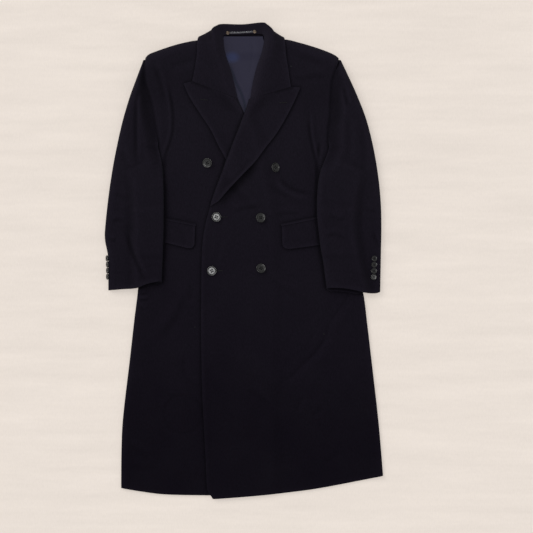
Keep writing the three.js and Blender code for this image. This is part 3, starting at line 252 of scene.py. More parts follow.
# The collar, a section to a row, from the right gorge round the back of the neck to the left one:
# seam in the neck, fold, edge of the fall, and how far the fall is turned beneath the back.
COLLAR = (
    (-16, 412.8, 9.5, -36, 420.4, 26, -131, 456.7, 20, 0),
    (-24, 447, 10, -47, 453, 31, -127.5, 472, 26, 0),
    (-34, 487, 11, -58, 492, 35, -123, 497, 30, 0),
    (-46, 522, 12, -69, 527, 40, -119, 524, 33, 0),
    (-51, 547, 13, -73, 555, 41, -118, 553, 31, 0),
    (-52, 562, 12, -77, 588, 36, -114, 571, 20, 0.3),
    (-53, 571, 10.8, -67, 596, 28, -94, 562, 2.6, 0.85),
    (-46, 574.5, 6.5, -52, 598.6, 22, -62, 556, 2.6, 1),
    (-4, 576, 6.2, -4, 597.5, 20, -4, 553, 2.6, 1),
    (40, 577.5, 6.5, 44, 602.3, 22, 54, 556, 2.6, 1),
    (49, 574, 10.8, 57, 599, 28, 84, 562, 2.6, 0.85),
    (51, 565, 12, 71, 585, 37, 101, 569, 20, 0.3),
    (49.5, 549, 13, 70, 556, 41, 104, 553, 31, 0),
    (43, 523, 12, 64, 527, 40, 107, 520, 33, 0),
    (31, 489, 11, 54, 492, 35, 112, 490, 30, 0),
    (21, 446, 10, 44, 450, 31, 116, 462, 26, 0),
    (16, 412.6, 9.5, 36, 418.6, 26, 119, 442.5, 20, 0),
)
COLLAR_TURN, COLLAR_TURN_OUT = 0.3, 4.5
# The stand's painted light lifts it above this tone, and the hollows' painted shade leaves it
# alone.
STAND_SHADE = 1.15  # above this tone a point belongs to the collar's stand
LAPELS = ("lapel_right_cloth", "lapel_left_cloth")
# How far a lapel's top is raised to meet the collar, by share of the way out along the gorge.
LAPEL_MEETS = (
    (0, 0), (0.06, 0.5), (0.15, 5), (0.25, 6.2), (0.37, 5.2), (0.47, 2.6), (0.6, 0.6), (0.72, -1),
    (0.85, -1.6), (1, -1.2),
)

# Hip pockets: where a flap's top edge starts, the way it runs, and its slopes, width and depth.
FLAPS = {
    "left": {"x": 97, "y": 88, "way": 1, "slant": 0.2, "foot": 0.14, "wide": 138, "deep": 61,
             "welt": 0.9},
    "right": {"x": -125, "y": 88, "way": -1, "slant": 0.2, "foot": 0.26, "wide": 138, "deep": 61,
              "welt": 0.3},
}
FLAP_CORNER, FLAP_THICK, JETTING_WIDE, JETTING_THICK = 17.0, 2.6, 6.0, 1.4
SLEEVE_LOFT = ((-80, 17), (60, 20), (230, 24), (420, 30), (512, 36))

# Worked buttonholes: name, x, y, length and how its line slants.
BUTTONHOLES = (
    ("buttonhole_lapel_right", -102, 409.5, 20, -0.12),
    ("buttonhole_lapel_left", 100, 402, 20, 0.03),
    ("buttonhole_front_upper", -57, 111, 31, 0.02),
    ("buttonhole_front_lower", -69, -26, 31, 0.02),
)
# Lint on the nap: x, y, and its length.
LINT = (
    (120, 494, 4.5), (-125, -169, 2.4), (204, -187, 3.0),
)
# Sizes of the turned buttons and of the chain's plates, and where the holes are, as shares.
FRONT_BUTTON = {"thick": 4.2, "rim": 3.0, "dish": 1.5}
CUFF_BUTTON = {"thick": 3.2, "rim": 2.1, "dish": 0.9}
PLATE = {"across": 9.4, "thick": 1.5, "rim": 1.4, "dish": 0.5, "hole": 0.5, "spread": 1.6}
HOLE_SHARE, SPREAD_SHARE = 0.055, 0.085
# How each front button lies: lean to one side, lean up or down, and how far it is turned, degrees.
BUTTON_LIES = {
    1: (-8, -8, 18), 2: (38, 6, 40), 3: (-1, 1, 65), 4: (14, 8, 8), 5: (-1, 1, 30), 6: (11, 13, 52),
}
CUFF_LEANS, CUFF_TILT = (0.34, 0.28, 0.22, 0.04), 20.0
# Lamps: name, place in metres, angle that the light comes from, and share of the stage's light.
LAMPS = (("key", (-4.2, 4.0, 4.9), 0.6, 1.0), ("overhead", (0.0, 0.0, 6.0), 0.36, 1.1))
LAMPS_AIM, WORLD_LIGHT, CAMERA_X, CAMERA_Y, SENSOR = (0.05, 0.0, 0.0), 0.48, 0.0574, -0.0149, 36.0
FLOOR_HALF, FLOOR_Z = 4000.0, -0.6
# Painted shade in hollows and beside higher cloth, and painted light on ridges: reach of the blur
# in cells, height that counts as one, least share, and depth.
HOLLOWS = ((3.6, 5.0, -0.25, 0.40), (1.6, 1.4, -0.5, 0.27))


def mix(a, b, t):
    return a + (b - a) * t


def bell(t):
    return np.exp(-t * t)


def ease(low, high, value):
    """Nought below low, one above high, and a smooth cubic step between them."""
    t = np.clip((value - low) / (high - low), 0, 1)
    return t * t * (3 - 2 * t)


def track(rows, to=1, at=0):
    """A cubic through a table's rows, whose slope at a row is that of its two neighbours."""
    table = np.asarray(rows, float)
    place, value = table[:, at], table[:, to]
    row = np.arange(len(place))
    before, after = np.maximum(row - 1, 0), np.minimum(row + 1, len(row) - 1)
    slope = (value[after] - value[before]) / (place[after] - place[before])

    def line(p):
        p = np.clip(p, place[0], place[-1])
        i = np.clip(np.searchsorted(place, p, side="right") - 1, 0, len(row) - 2)
        step = place[i + 1] - place[i]
        t = (p - place[i]) / step
        hold = value[i] * (2 * t**3 - 3 * t**2 + 1) + value[i + 1] * (3 * t**2 - 2 * t**3)
        return hold + step * (slope[i] * (t**3 - 2 * t**2 + t) + slope[i + 1] * (t**3 - t**2))

    return line


class Half:
    """One half of the coat: which way is out from its middle, its outlines as functions, and how
    far its undersleeve reaches past the cuff, rising and falling between four places."""

    def __init__(self, name, way, gorge, past_cuff, past_at, **outlines):
        self.name, self.way, self.gorge = name, way, gorge
        self.past_cuff, self.past_at = past_cuff, past_at
        for key, rows in outlines.items():
            setattr(self, key, track(rows))


RIGHT = Half(
    "right", -1, GORGE_RIGHT, 5.0, (-236, -220, -220, -200), side=SIDE_RIGHT, edge=EDGE_RIGHT,
    lapel=LAPEL_EDGE_RIGHT, hem=HEM_RIGHT, shoulder=SHOULDER_RIGHT, inner=SLEEVE_INNER_RIGHT,
    outer=SLEEVE_OUTER_RIGHT, cuff=CUFF_RIGHT)
LEFT = Half(
    "left", 1, GORGE_LEFT, 9.0, (204, 220, 286, 306), side=SIDE_LEFT, edge=EDGE_LEFT,
    lapel=LAPEL_EDGE_LEFT, hem=HEM_LEFT, shoulder=SHOULDER_LEFT, inner=SLEEVE_INNER_LEFT,
    outer=SLEEVE_OUTER_LEFT, cuff=CUFF_LEFT)


def sleeve_loft(y):
    """How thick a laid sleeve is: by the table, and thinner over the last stretch of the head."""
    return track(SLEEVE_LOFT)(y) * (1 - 0.5 * ease(474, 514, y))


def off_run(x, y, start, end):
    """Of the nearest point on a straight run: its share of the way, and the step from it."""
    dx, dy = end[0] - start[0], end[1] - start[1]
    t = np.clip(((x - start[0]) * dx + (y - start[1]) * dy) / (dx * dx + dy * dy), 0, 1)
    return t, x - start[0] - t * dx, y - start[1] - t * dy


def fold_height(folds, x, y):
    """Sum of straight folds: each is its rise times a bell of the distance from its run."""
    total = np.zeros(np.shape(x))
    for x0, y0, x1, y1, rise, wide in folds:
        _, ox, oy = off_run(x, y, (x0, y0), (x1, y1))
        total += rise * bell(np.hypot(ox, oy) / wide)
    return total


def smooth_path(points, steps=6):
    """A line through the points whose direction at each is that of its two neighbours."""
    rows = [(n, *p) for n, p in enumerate(points)]
    place = np.linspace(0, len(points) - 1, (len(points) - 1) * steps + 1)
    return np.stack([track(rows, to=1 + k)(place) for k in range(len(points[0]))], axis=-1)


def crease_height(creases, x, y):
    """Sum of creases: a bell of the distance from the nearest stretch of each run, and a wider
    bell on one side of it for the lip, both dying away over the last quarter at either end."""
    total = np.zeros(np.shape(x))
    for points, rise, wide, lip in creases:
        path = smooth_path(points)
        low, high = path.min(0) - 4 * wide, path.max(0) + 4 * wide
        near = (x > low[0]) & (x < high[0]) & (y > low[1]) & (y < high[1])
        px, py = x[near], y[near]
        best, side, along = np.full(px.shape, 1e9), np.zeros(px.shape), np.zeros(px.shape)
        for n, (start, end) in enumerate(zip(path[:-1], path[1:])):
            t, ox, oy = off_run(px, py, start, end)
            away = np.hypot(ox, oy)
            closer = away < best
            turn = (end[0] - start[0]) * oy - (end[1] - start[1]) * ox
            best = np.where(closer, away, best)
            side = np.where(closer, np.sign(turn), side)
            along = np.where(closer, (n + t) / (len(path) - 1), along)
        fade = ease(0, 0.25, along) * (1 - ease(0.75, 1, along))
        beside = best * side * np.sign(lip) - 1.9 * wide
        total[near] += fade * (rise * bell(best / wide) + abs(lip) * bell(beside / (1.6 * wide)))
    return total


def unevenness(x, y):
    """Slow waves that never quite repeat, as cloth laid by hand has: three sines that cross."""
    return (
        0.34 * np.sin(x / 31 + 1.3) * np.sin(y / 47 + 0.4)
        + 0.22 * np.sin((x + 0.7 * y) / 23 + 2.1)
        + 0.18 * np.sin((x - 1.3 * y) / 37 + 0.7)
    )


def loft(x, y):
    """How far the fronts stand off the back: rest, chest, shoulder, pad, side puff and folds."""
    out = np.abs(x - MIDDLE)
    neck = np.where(x > MIDDLE, x - LEFT.edge(y), RIGHT.edge(y) - x)
    chest = CHEST_LOFT * bell((out - 120) / 85) * bell((y - 315) / 140)
    shoulder = SHOULDER_LOFT * ease(380, 525, y)
    pad = PAD_LOFT * bell((out - 220) / 60) * ease(400, 500, y)
    near_neck = mix(1, mix(0.35, 1, ease(8, 60, neck)), ease(360, 440, y))
    side = np.minimum(LEFT.side(y) - x, x - RIGHT.side(y))
    puff = SIDE_PUFF * bell(np.maximum(0, side) / 34) * (1 - ease(180, 230, y))
    folds = np.maximum(-REST_LOFT, fold_height(BODY_FOLDS, x, y))
    height = REST_LOFT + (chest + shoulder + pad) * near_neck + puff + folds
    ring = -0.8 * bell((np.hypot(x - RING[0], y - RING[1]) - RING[2]) / 4.5)
    fine = CREASED * crease_height(BODY_CREASES, x, y) + unevenness(x, y) + ring
    groove = 3.4 * bell(np.maximum(0, side) / 5) * ease(236, 262, y)
    return np.maximum(0.15, height + fine - groove)


def neck_lift(x, y):
    """How much the back is raised by the collar's fall beneath it."""
    return NECK_LIFT * ease(505, 536, y) * (1 - ease(92, 114, np.abs(x - MIDDLE)))


def ground_height(x, y):
    """The level that the fronts rest on: the back's upper face, and the lining in the neck."""
    lined = bell(np.maximum(0, np.abs(x - MIDDLE) - 96) / 30) * ease(305, 335, y)
    return cloth_mm() + GAP + (lining_mm() + GAP) * lined + neck_lift(x, y)


def cover(inside):
    """One where a hidden layer lies under the place, falling softly to nought beside it."""
    return 1 - ease(0, 34, -inside)


def front_under(half, x, y):
    """Level of a front's under face. The left one also rides over the lap and the right lapel."""
    level = ground_height(x, y) + loft(x, y)
    if half is RIGHT:
        return level
    lap = cover(RIGHT.edge(y) - x) * (1 - ease(360, 400, y))
    inside = np.minimum(RIGHT.edge(y) + 2 - x, x - RIGHT.lapel(y) + 2)
    lapel = cover(inside) * ease(95, 130, y)
    return level + (cloth_mm() + GAP) * (lap + lapel)


def chest_top(x, y):
    return front_under(RIGHT, x, y) + cloth_mm()


def cloth_mm():
    return bpy.context.scene.coat_cloth.thickness / MM


def lining_mm():
    return bpy.context.scene.coat_cloth.lining_thickness / MM


def refine(grid, times):
    """The grid with each step cut into equal parts, by straight lines."""
    for axis in (0, 1):
        count = grid.shape[axis]
        place = np.linspace(0, count - 1, (count - 1) * times + 1)
        low = np.minimum(place.astype(int), count - 2)
        share = (place - low).reshape((-1, 1, 1) if axis == 0 else (1, -1, 1))
        grid = mix(np.take(grid, low, axis), np.take(grid, low + 1, axis), share)
    return grid


class Pile:
    """The highest cloth over each place, kept as a raster of squares for every piece laid."""

    CELL = 2.0
    CORNER = np.array((-380.0, -630.0))
    COUNT = (381, 631)

    def __init__(self):
        self.layers = {}

    def cells(self, x, y):
        i = np.rint((x - self.CORNER[0]) / self.CELL).astype(int)
        j = np.rint((y - self.CORNER[1]) / self.CELL).astype(int)
        return np.clip(i, 0, self.COUNT[0] - 1), np.clip(j, 0, self.COUNT[1] - 1)

    def lay(self, name, grid):
        fine = refine(grid, 4)
        raster = np.full(self.COUNT, -1.0)
        np.maximum.at(raster, self.cells(fine[..., 0], fine[..., 1]), fine[..., 2])
        self.layers[name] = raster

    def between(self, raster, x, y):
        """A raster's value at places, in straight lines between its cells."""
        u = np.clip((x - self.CORNER[0]) / self.CELL, 0, self.COUNT[0] - 1.001)
        v = np.clip((y - self.CORNER[1]) / self.CELL, 0, self.COUNT[1] - 1.001)
        i, j = u.astype(int), v.astype(int)
        low = mix(raster[i, j], raster[i + 1, j], u - i)
        high = mix(raster[i, j + 1], raster[i + 1, j + 1], u - i)
        return mix(low, high, v - j)

    def top(self, x, y, but=()):
        """The highest layer over places, or minus one, without the named ones."""
        rasters = [raster for name, raster in self.layers.items() if name not in but]
        if not rasters:
            return np.full(np.shape(x), -1.0)
        return np.max(rasters, axis=0)[self.cells(x, y)]


PILE = Pile()


def blurred(field, reach):
    """A raster smoothed by a bell of the reach, in cells, along one axis and then the other."""
    steps_away = np.arange(-int(3 * reach), int(3 * reach) + 1)
    weights = bell(steps_away / (1.414 * reach))
    weights /= weights.sum()
    for axis in (0, 1):
        field = sum(w * np.roll(field, n, axis) for n, w in zip(steps_away, weights))
    return field


def smoothed(field, passes, blend=np.mean):
    """A grid's values blended with their four neighbours', the rim repeated, pass after pass."""
    for _ in range(passes):
        around = np.pad(field, 1, mode="edge")
        parts = (around[:-2, 1:-1], around[2:, 1:-1], around[1:-1, :-2], around[1:-1, 2:])
        field = blend(np.stack((field, *parts)), axis=0)
    return field


def settle(outer, inner, name, where=True, but=()):
    """Lays a wall on the pile. The lift is what its inner face lacks to the gap over the pile,
    spread to its neighbours, smoothed, and never less than what it lacks."""
    need = PILE.top(inner[..., 0], inner[..., 1], but=(name, *but)) + GAP + 0.15 - inner[..., 2]
    need = np.where(where, np.maximum(0, need), 0)
    need = np.where(need > 30, 0, need)
    lift = np.maximum(smoothed(smoothed(need, 3, np.max), 4), need)
    outer[..., 2] += lift
    inner[..., 2] += lift
    return outer, inner


def grid_normals(grid):
    """Unit normals of a grid, from the cross product of its two directions."""
    normal = np.cross(np.gradient(grid, axis=1), np.gradient(grid, axis=0))
    return normal / np.maximum(np.linalg.norm(normal, axis=-1, keepdims=True), 1e-9)


def remake(name):
    """Removes an object of the name, so that an operator can be run again."""
    old = bpy.data.objects.get(name)
    if old is not None:
        bpy.data.objects.remove(old)


def smooth_object(name, mesh, material, sharp):
    """An object of a new mesh: smooth, but sharp at edges that turn by more than an angle."""
    mesh.validate()
    mesh.polygons.foreach_set("use_smooth", np.ones(len(mesh.polygons), bool))
    mesh.set_sharp_from_angle(angle=math.radians(sharp))
    mesh.materials.append(material)
    made = bpy.data.objects.new(name, mesh)
    bpy.context.scene.collection.objects.link(made)
    return made


def mesh_object(name, vertices, faces, material):
    """A mesh object in metres from points in millimetres, its faces turned to look out."""
    remake(name)
    points = np.asarray(vertices, float).reshape(-1, 3)
    corners = np.asarray(faces, int)
    a, b, c = (points[corners[:, k]] for k in (0, 1, 2))
    d = points[corners[:, -1]]
    volume = np.einsum("ij,ij->", a, np.cross(b, c)) + np.einsum("ij,ij->", a, np.cross(c, d))
    if volume < 0:
        corners = corners[:, ::-1]
    mesh = bpy.data.meshes.new(name)
    mesh.vertices.add(len(points))
    mesh.vertices.foreach_set("co", (points * MM).astype(np.float32).ravel())
    mesh.loops.add(corners.size)
    mesh.loops.foreach_set("vertex_index", corners.astype(np.int32).ravel())
    mesh.polygons.add(len(corners))
    starts = np.arange(0, corners.size, corners.shape[1], dtype=np.int32)
    mesh.polygons.foreach_set("loop_start", starts)
    mesh.update(calc_edges=True)
    return smooth_object(name, mesh, material, 50)


def quads(rows, columns, first=0, wrap=False):
    """Corner numbers of the faces of a grid, and of its joining strip where it wraps round."""
    number = np.arange(rows * columns).reshape(rows, columns) + first
    if wrap:
        number = np.concatenate((number, number[:, :1]), axis=1)
    return np.stack(
        (number[:-1, :-1], number[:-1, 1:], number[1:, 1:], number[1:, :-1]), axis=-1
    ).reshape(-1, 4)


def wall(name, outer, inner, material, shade=1.0):
    """A closed wall: the outer grid, the inner grid turned the other way, and a rim between them
    whose middle line bulges a third of the wall's thickness beyond both."""
    rows, columns = outer.shape[:2]
    up, across = np.arange(rows), np.arange(columns)
    ring = np.concatenate((
        np.stack((np.zeros(columns - 1, int), across[:-1]), 1),
        np.stack((up[:-1], np.full(rows - 1, columns - 1)), 1),
        np.stack((np.full(columns - 1, rows - 1), across[:0:-1]), 1),
        np.stack((up[:0:-1], np.zeros(rows - 1, int)), 1),
    ))
    beside = np.stack((np.clip(ring[:, 0], 1, rows - 2), np.clip(ring[:, 1], 1, columns - 2)), 1)
    top, under = outer[ring[:, 0], ring[:, 1]], inner[ring[:, 0], ring[:, 1]]
    outward = top - outer[beside[:, 0], beside[:, 1]]
    outward /= np.maximum(np.linalg.norm(outward, axis=1, keepdims=True), 1e-9)
    thick = np.linalg.norm(top - under, axis=1, keepdims=True)
    middle = (top + under) / 2 + outward * thick / 3
    count = rows * columns
    number = ring[:, 0] * columns + ring[:, 1]
    after = np.roll(number, -1)
    rim = 2 * count + np.arange(len(ring))
    rim_after = np.roll(rim, -1)
    faces = np.concatenate((
        quads(rows, columns),
        quads(rows, columns, count)[:, ::-1],
        np.stack((after, number, rim, rim_after), 1),
        np.stack((rim_after, rim, count + number, count + after), 1),
    ))
    points = np.concatenate((outer.reshape(-1, 3), inner.reshape(-1, 3), middle))
    made = mesh_object(name, points, faces, material)
    shade = np.broadcast_to(shade, outer.shape[:2])
    values = np.concatenate((shade.ravel(), shade.ravel(), shade[ring[:, 0], ring[:, 1]]))
    attribute = made.data.attributes.new("shade", "FLOAT", "POINT")
    attribute.data.foreach_set("value", values.astype(np.float32))
    return made


def thickened(x, y, z, inward):
    """A wall's two faces: the outer one, and the inner one, a cloth's thickness inward of it."""
    outer = np.stack((x, y, z), axis=-1)
    return outer, outer + np.stack(np.broadcast_arrays(*inward), axis=-1) * cloth_mm()


def fit_to_frame(made, node=None):
    """Ties a piece to the coat's body, in place of its CAD node if it has one."""
    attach(made, "root")
    if node:
        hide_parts(node)


def lay_cloth(node, faces, shade=1.0, top=None):
    """Makes a laid piece of wool in place of its CAD node: its wall and its place on the pile."""
    name, (outer, inner) = f"{node}_cloth", faces
    made = wall(name, outer, inner, material_of("wool", wool), shade)
    PILE.lay(name, outer if top is None else top)
    fit_to_frame(made, node)


def columns(count, low_turned, high_turned, steps=6):
    """Places across a panel: round a turn by its angle at either end, and evenly between.
    Each is a share of the width, the shares of the two turns, and the angle, 90 being flat."""
    angles = np.linspace(0, FLAT, steps + 1)
    spots = np.linspace(0, 1, count + 1)
    rows = []
    if low_turned:
        rows += [(0, 1 - math.cos(a), 0, a, FLAT) for a in angles[:-1]]
    rows += [(s, (1 - s) * low_turned, s * high_turned, FLAT, FLAT) for s in spots]
    if high_turned:
        rows += [(1, 0, 1 - math.cos(a), FLAT, a) for a in angles[-2::-1]]
    return np.array(rows, float).T


def across_at(low, high, places, low_turn, high_turn):
    """Where the columns stand between two edges."""
    share, low_part, high_part = places[:3]
    return low * (1 - share) + high * share + low_turn * low_part - high_turn * high_part


def body_panel(edges, turns, hem, shoulder, step_across, step_up, surface):
    """A body panel. Rows run level, bend to the hem below and to the shoulder above, and turn
    over the shoulder seam; columns run between the two side edges and turn over them."""
    left_turn, right_turn, shoulder_turn = turns
    places = columns(max(8, round(PANEL_WIDE / step_across)), left_turn > 0, right_turn > 0)
    level = np.arange(FOOT, HEAD - shoulder_turn - 3, step_up)
    angles = np.linspace(FLAT, 0, 7)
    y0 = np.concatenate((level, np.full(angles.shape, HEAD)))[:, None]
    angle = np.concatenate((np.full(level.shape, FLAT), angles))[:, None]

    def x_at(y):
        return across_at(edges[0](y), edges[1](y), places, left_turn, right_turn)

    y = np.broadcast_to(y0, (len(y0), places.shape[1]))
    for _ in range(4):
        x = x_at(y)
        foot = (hem(x) - FOOT) * (1 - ease(FOOT, -250, y0))
        y = y0 + foot + (shoulder(x) - HEAD) * ease(300, HEAD, y0)
    y = y - shoulder_turn * (1 - np.cos(angle)) * (y0 == HEAD)
    return surface(x_at(y), y, places[3], places[4], angle)


def folded(y):
    """Share of a side edge that is folded: all of it below the underarm, none along the armhole."""
    return 1 - ease(206, 232, y)


def back_surface(x, y, low, high, top_angle):
    """Level on the surface, its edges turned up by a quarter round to the side seams."""
    k = folded(y)
    top = ease(72, 112, np.abs(x - MIDDLE))
    lifted = neck_lift(x, y)
    turn = (1 - np.sin(low)) + (1 - np.sin(high))
    at_top = (SHOULDER_SEAM - lifted) * (1 - np.sin(top_angle)) * top
    return thickened(x, y, SIDE_SEAM * turn * k + at_top + lifted, (
        (np.cos(low) - np.cos(high)) * k,
        -np.cos(top_angle) * top,
        mix(1, np.sin(low) * np.sin(high), k) * mix(1, np.sin(top_angle), top),
    ))


def back_hem(x):
    right = RIGHT.hem(x)
    return np.where(x < 0, right, mix(right, LEFT.hem(x), ease(20, 120, x))) + 5


def back_shoulder(x):
    neck = NECK_Y + NECK_SLANT * (x - MIDDLE)
    sides = np.where(x < 0, RIGHT.shoulder(x), LEFT.shoulder(x))
    return mix(neck, sides, ease(52, 66, np.abs(x + 2)))


def roll_setback(y):
    """How far a front's inner edge lies back from the roll, for the lapel and collar to turn."""
    return 7.5 * ease(134, 152, y) + 6.5 * ease(385, 430, y)


def front_surface(half):
    """The upper cloth: its under face on what lies below, its edges rounded down to the seams."""

    def surface(x, y, low, high, top_angle):
        angle = high if half is LEFT else low
        k = folded(y)
        stand = 1.4 * bell((x - LEFT.edge(y)) / 8) * (1 - ease(110, 150, y)) * (half is LEFT)
        flat = front_under(half, x, y) + cloth_mm() + stand
        side_drop = (flat - SIDE_SEAM - GAP) * (1 - np.sin(angle)) * k
        top_drop = (flat - SHOULDER_SEAM - GAP) * (1 - np.sin(top_angle))
        return thickened(x, y, flat - side_drop - top_drop, (
            -half.way * np.cos(angle) * k,
            -np.cos(top_angle),
            -mix(1, np.sin(angle), k) * np.sin(top_angle),
        ))

    return surface


def gorge_bend(gorge, share):
    """How far the gorge stands off the straight line from the roll to the peak's tip."""
    roll, notch, peak = (np.array(p, float) for p in gorge)
    first = np.linalg.norm(notch - roll)
    split = first / (first + np.linalg.norm(peak - notch))
    t = share[..., None]
    inner, outer = mix(roll, notch, t / split), mix(notch, peak, (t - split) / (1 - split))
    return np.where(t < split, inner, outer) - mix(roll, peak, t)


def lapel_surface(half, rows, leaf):
    """The front's own cloth turned out over the roll: a quarter round, then a leaf that comes
    down from the roll's rise to lie on the chest, its belly standing a little off it."""
    angles = np.linspace(0, FLAT, 8)
    angle = np.concatenate((angles, np.full(leaf, FLAT)))[None, :]
    out = np.concatenate((np.zeros(angles.shape), np.linspace(0, 1, leaf + 1)[1:]))[None, :]
    up = np.linspace(0, 1, rows)[:, None]
    roll_y = mix(LAPEL_FOOT, half.gorge[0][1], up)
    out_y = mix(LAPEL_FOOT, half.gorge[2][1], up)
    a = np.concatenate((half.edge(roll_y), roll_y), axis=-1)[:, None, :]
    b = np.concatenate((half.lapel(out_y), out_y), axis=-1)[:, None, :]
    b = mix(a, b, mix(0.15, 1, ease(0, 0.05, up))[..., None])
    width = np.linalg.norm(b - a, axis=-1)
    turn = np.minimum(mix(5.5, 15, ease(385, 425, roll_y)), width * 0.42)
    reach = np.where(angle < FLAT, turn * (1 - np.cos(angle)), mix(turn, width, out))
    share = reach / width
    plan = mix(a, b, share[..., None])
    bend = gorge_bend(half.gorge, share) * (ease(0.62, 1, up) * ease(0.03, 0.2, share))[..., None]
    x, y = np.moveaxis(plan + bend, -1, 0)
    rise = 8 * ease(300, 430, roll_y) * (1 - ease(turn, turn + 46, reach))
    belly_high = 7.5 if half is LEFT else 2.4
    belly = belly_high * bell((y - 198) / 46) * ease(0.3, 1, out) * ease(0.05, 0.2, up)
    lip = 2.0 * ease(0.72, 1, out) * ease(0.1, 0.3, up)
    meet = track(LAPEL_MEETS)(share) * ease(0.84, 1, up)
    flat = front_under(half, x, y) + 2 * cloth_mm() + GAP + rise + belly + lip + meet
    rim = front_under(half, a[..., 0], a[..., 1]) + GAP
    wrap = ease(0.03, 0.12, up)
    z = mix(flat, mix(rim, flat, np.sin(angle)), wrap)
    across = (b - a) / width[..., None]
    inward = (
        *np.moveaxis(across * (np.cos(angle) * wrap)[..., None], -1, 0),
        -mix(1, np.sin(angle), wrap))
    # Painted shade: a dark stripe along the outer part of the gorge seam, on the lapel's top rows;
    # the rest of the lapel is a touch paler than the front.
    seam = ease(0.965, 0.995, up) * ease(0.42, 0.62, share) * (1 - ease(0.86, 0.9, share))
    return thickened(x, y, z, inward), 1.05 - 0.42 * seam


def collar_surface(along, stand, fall):
    """Up the stand from the neck seam to the fold, as a quarter sine, then out over the fall as a
    smooth step to where it rests, or round the fold and level beneath the back."""
    rows = [(n, *row) for n, row in enumerate(COLLAR)]
    place = np.linspace(0, len(COLLAR) - 1, along)
    values = [track(rows, to=1 + k)(place)[:, None] for k in range(10)]
    seam, fold, edge = (np.stack(values[k:k + 3], axis=-1) for k in (0, 3, 6))
    tucked = np.clip(values[9], 0, 1)[..., None]
    t = np.linspace(0, 1, stand)[None, :, None]
    u = np.linspace(0, 1, fall)[None, 1:, None]
    up = mix(seam, fold, t)
    up[..., 2] = mix(seam[..., 2], fold[..., 2], np.sin(t[..., 0] * FLAT))
    over = mix(fold, edge, u)
    top = PILE.top(over[..., 0], over[..., 1], but=LAPELS) + GAP + cloth_mm()
    rest = smoothed(np.maximum(edge[..., 2], top), 6)
    over[..., 2] = mix(fold[..., 2], rest, ease(0, 0.9, u[..., 0]))
    out = (fold - seam) * (1, 1, 0)
    out /= np.linalg.norm(out, axis=-1, keepdims=True)
    a = np.minimum(1, u / COLLAR_TURN) * math.pi
    level = np.clip((u - COLLAR_TURN) / (1 - COLLAR_TURN), 0, 1)
    under = mix(fold, edge, level) + out * COLLAR_TURN_OUT * np.sin(a)
    under[..., 2] = fold[..., 2] * (1 + np.cos(a[..., 0])) / 2
    outer = np.concatenate((up, mix(over, under, tucked)), axis=1)
    normal = grid_normals(outer)
    if normal[len(normal) // 8, stand, 2] > 0:
        normal = -normal
    beyond = np.concatenate((np.zeros(t.shape), u > 0.42), axis=1) * (tucked > 0.9)
    normal = np.where(beyond > 0, np.array((0.0, 0.0, 1.0)), normal)
    inner = outer + normal * cloth_mm()
    inner[..., 2] = np.maximum(inner[..., 2], 0.1)
    # Painted light: the stand is painted paler, most at the neck seam, against the shade on its
    # inner slope; the fall is a touch paler than the fronts.
    shade = np.concatenate((
        np.broadcast_to(mix(1.9, 1.16, ease(0.0, 1.0, t[..., 0])), up.shape[:2]),
        np.full(over.shape[:2], 1.09),
    ), axis=1)
    lies = (u[..., 0] > 0.2) * (tucked[..., 0] < 0.1)
    return outer, inner, shade, np.concatenate((np.zeros(up.shape[:2]), lies), axis=1) > 0


def on_pile(x, y, thick, stand):
    """A strip that lies on the pile at a smoothed level, standing off it by a height."""
    outer = np.stack((x, y, smoothed(PILE.top(x, y), 4) + GAP + stand), axis=-1)
    return outer, outer - (0, 0, thick)


def flap_surface(spec, across, down):
    """A flap's plan is a leaning strip with its near lower corner rounded. It lies on the front,
    a little pillowed, and its lower edge stands off."""
    share = np.linspace(0, 1, down)[:, None]
    into = np.clip((share * spec["deep"] - (spec["deep"] - FLAP_CORNER)) / FLAP_CORNER, 0, 1)
    round_off = FLAP_CORNER * (1 - np.sqrt(1 - into**2))
    run = mix(2 * share + round_off, spec["wide"] - round_off, np.linspace(0, 1, across)[None, :])
    x = spec["x"] + spec["way"] * run
    y = spec["y"] + mix(spec["slant"], spec["foot"], share) * run - share * spec["deep"]
    pillow = 0.9 * np.sin(share * math.pi) + 1.1 * ease(0.7, 1, share)
    edge = 0.7 * bell((run - run.min()) / 7)
    return on_pile(x, y, FLAP_THICK, FLAP_THICK + pillow + edge)


def jetting_surface(spec, across, wide):
    """The narrow strip above a flap: half a sine across, lying on the front."""
    run = mix(-2, spec["wide"] + 2, np.linspace(0, 1, across))[None, :]
    over = np.linspace(0, 1, wide)[:, None]
    x = spec["x"] + spec["way"] * run + 0 * over
    y = spec["y"] + spec["slant"] * run + 0.5 + JETTING_WIDE * over
    stand = JETTING_THICK * (0.5 + spec["welt"] * np.sin(over * math.pi))
    return on_pile(x, y, JETTING_THICK * 0.5, stand)


def sleeve_ground(half, x, y, low=228, high=262):
    """The level a sleeve lies on: the body and the pocket flap, falling to the surface beside,
    and between two heights to nought, where the sleeve lies beside the body."""
    beyond = half.way * (x - half.side(y))
    over = (1 - ease(1, 30, beyond)) * (1 - ease(low, high, y))
    pocket = (FLAP_THICK + GAP) * ease(5, 25, y) * (1 - ease(125, 150, y))
    return (chest_top(x, y) + GAP + pocket) * over


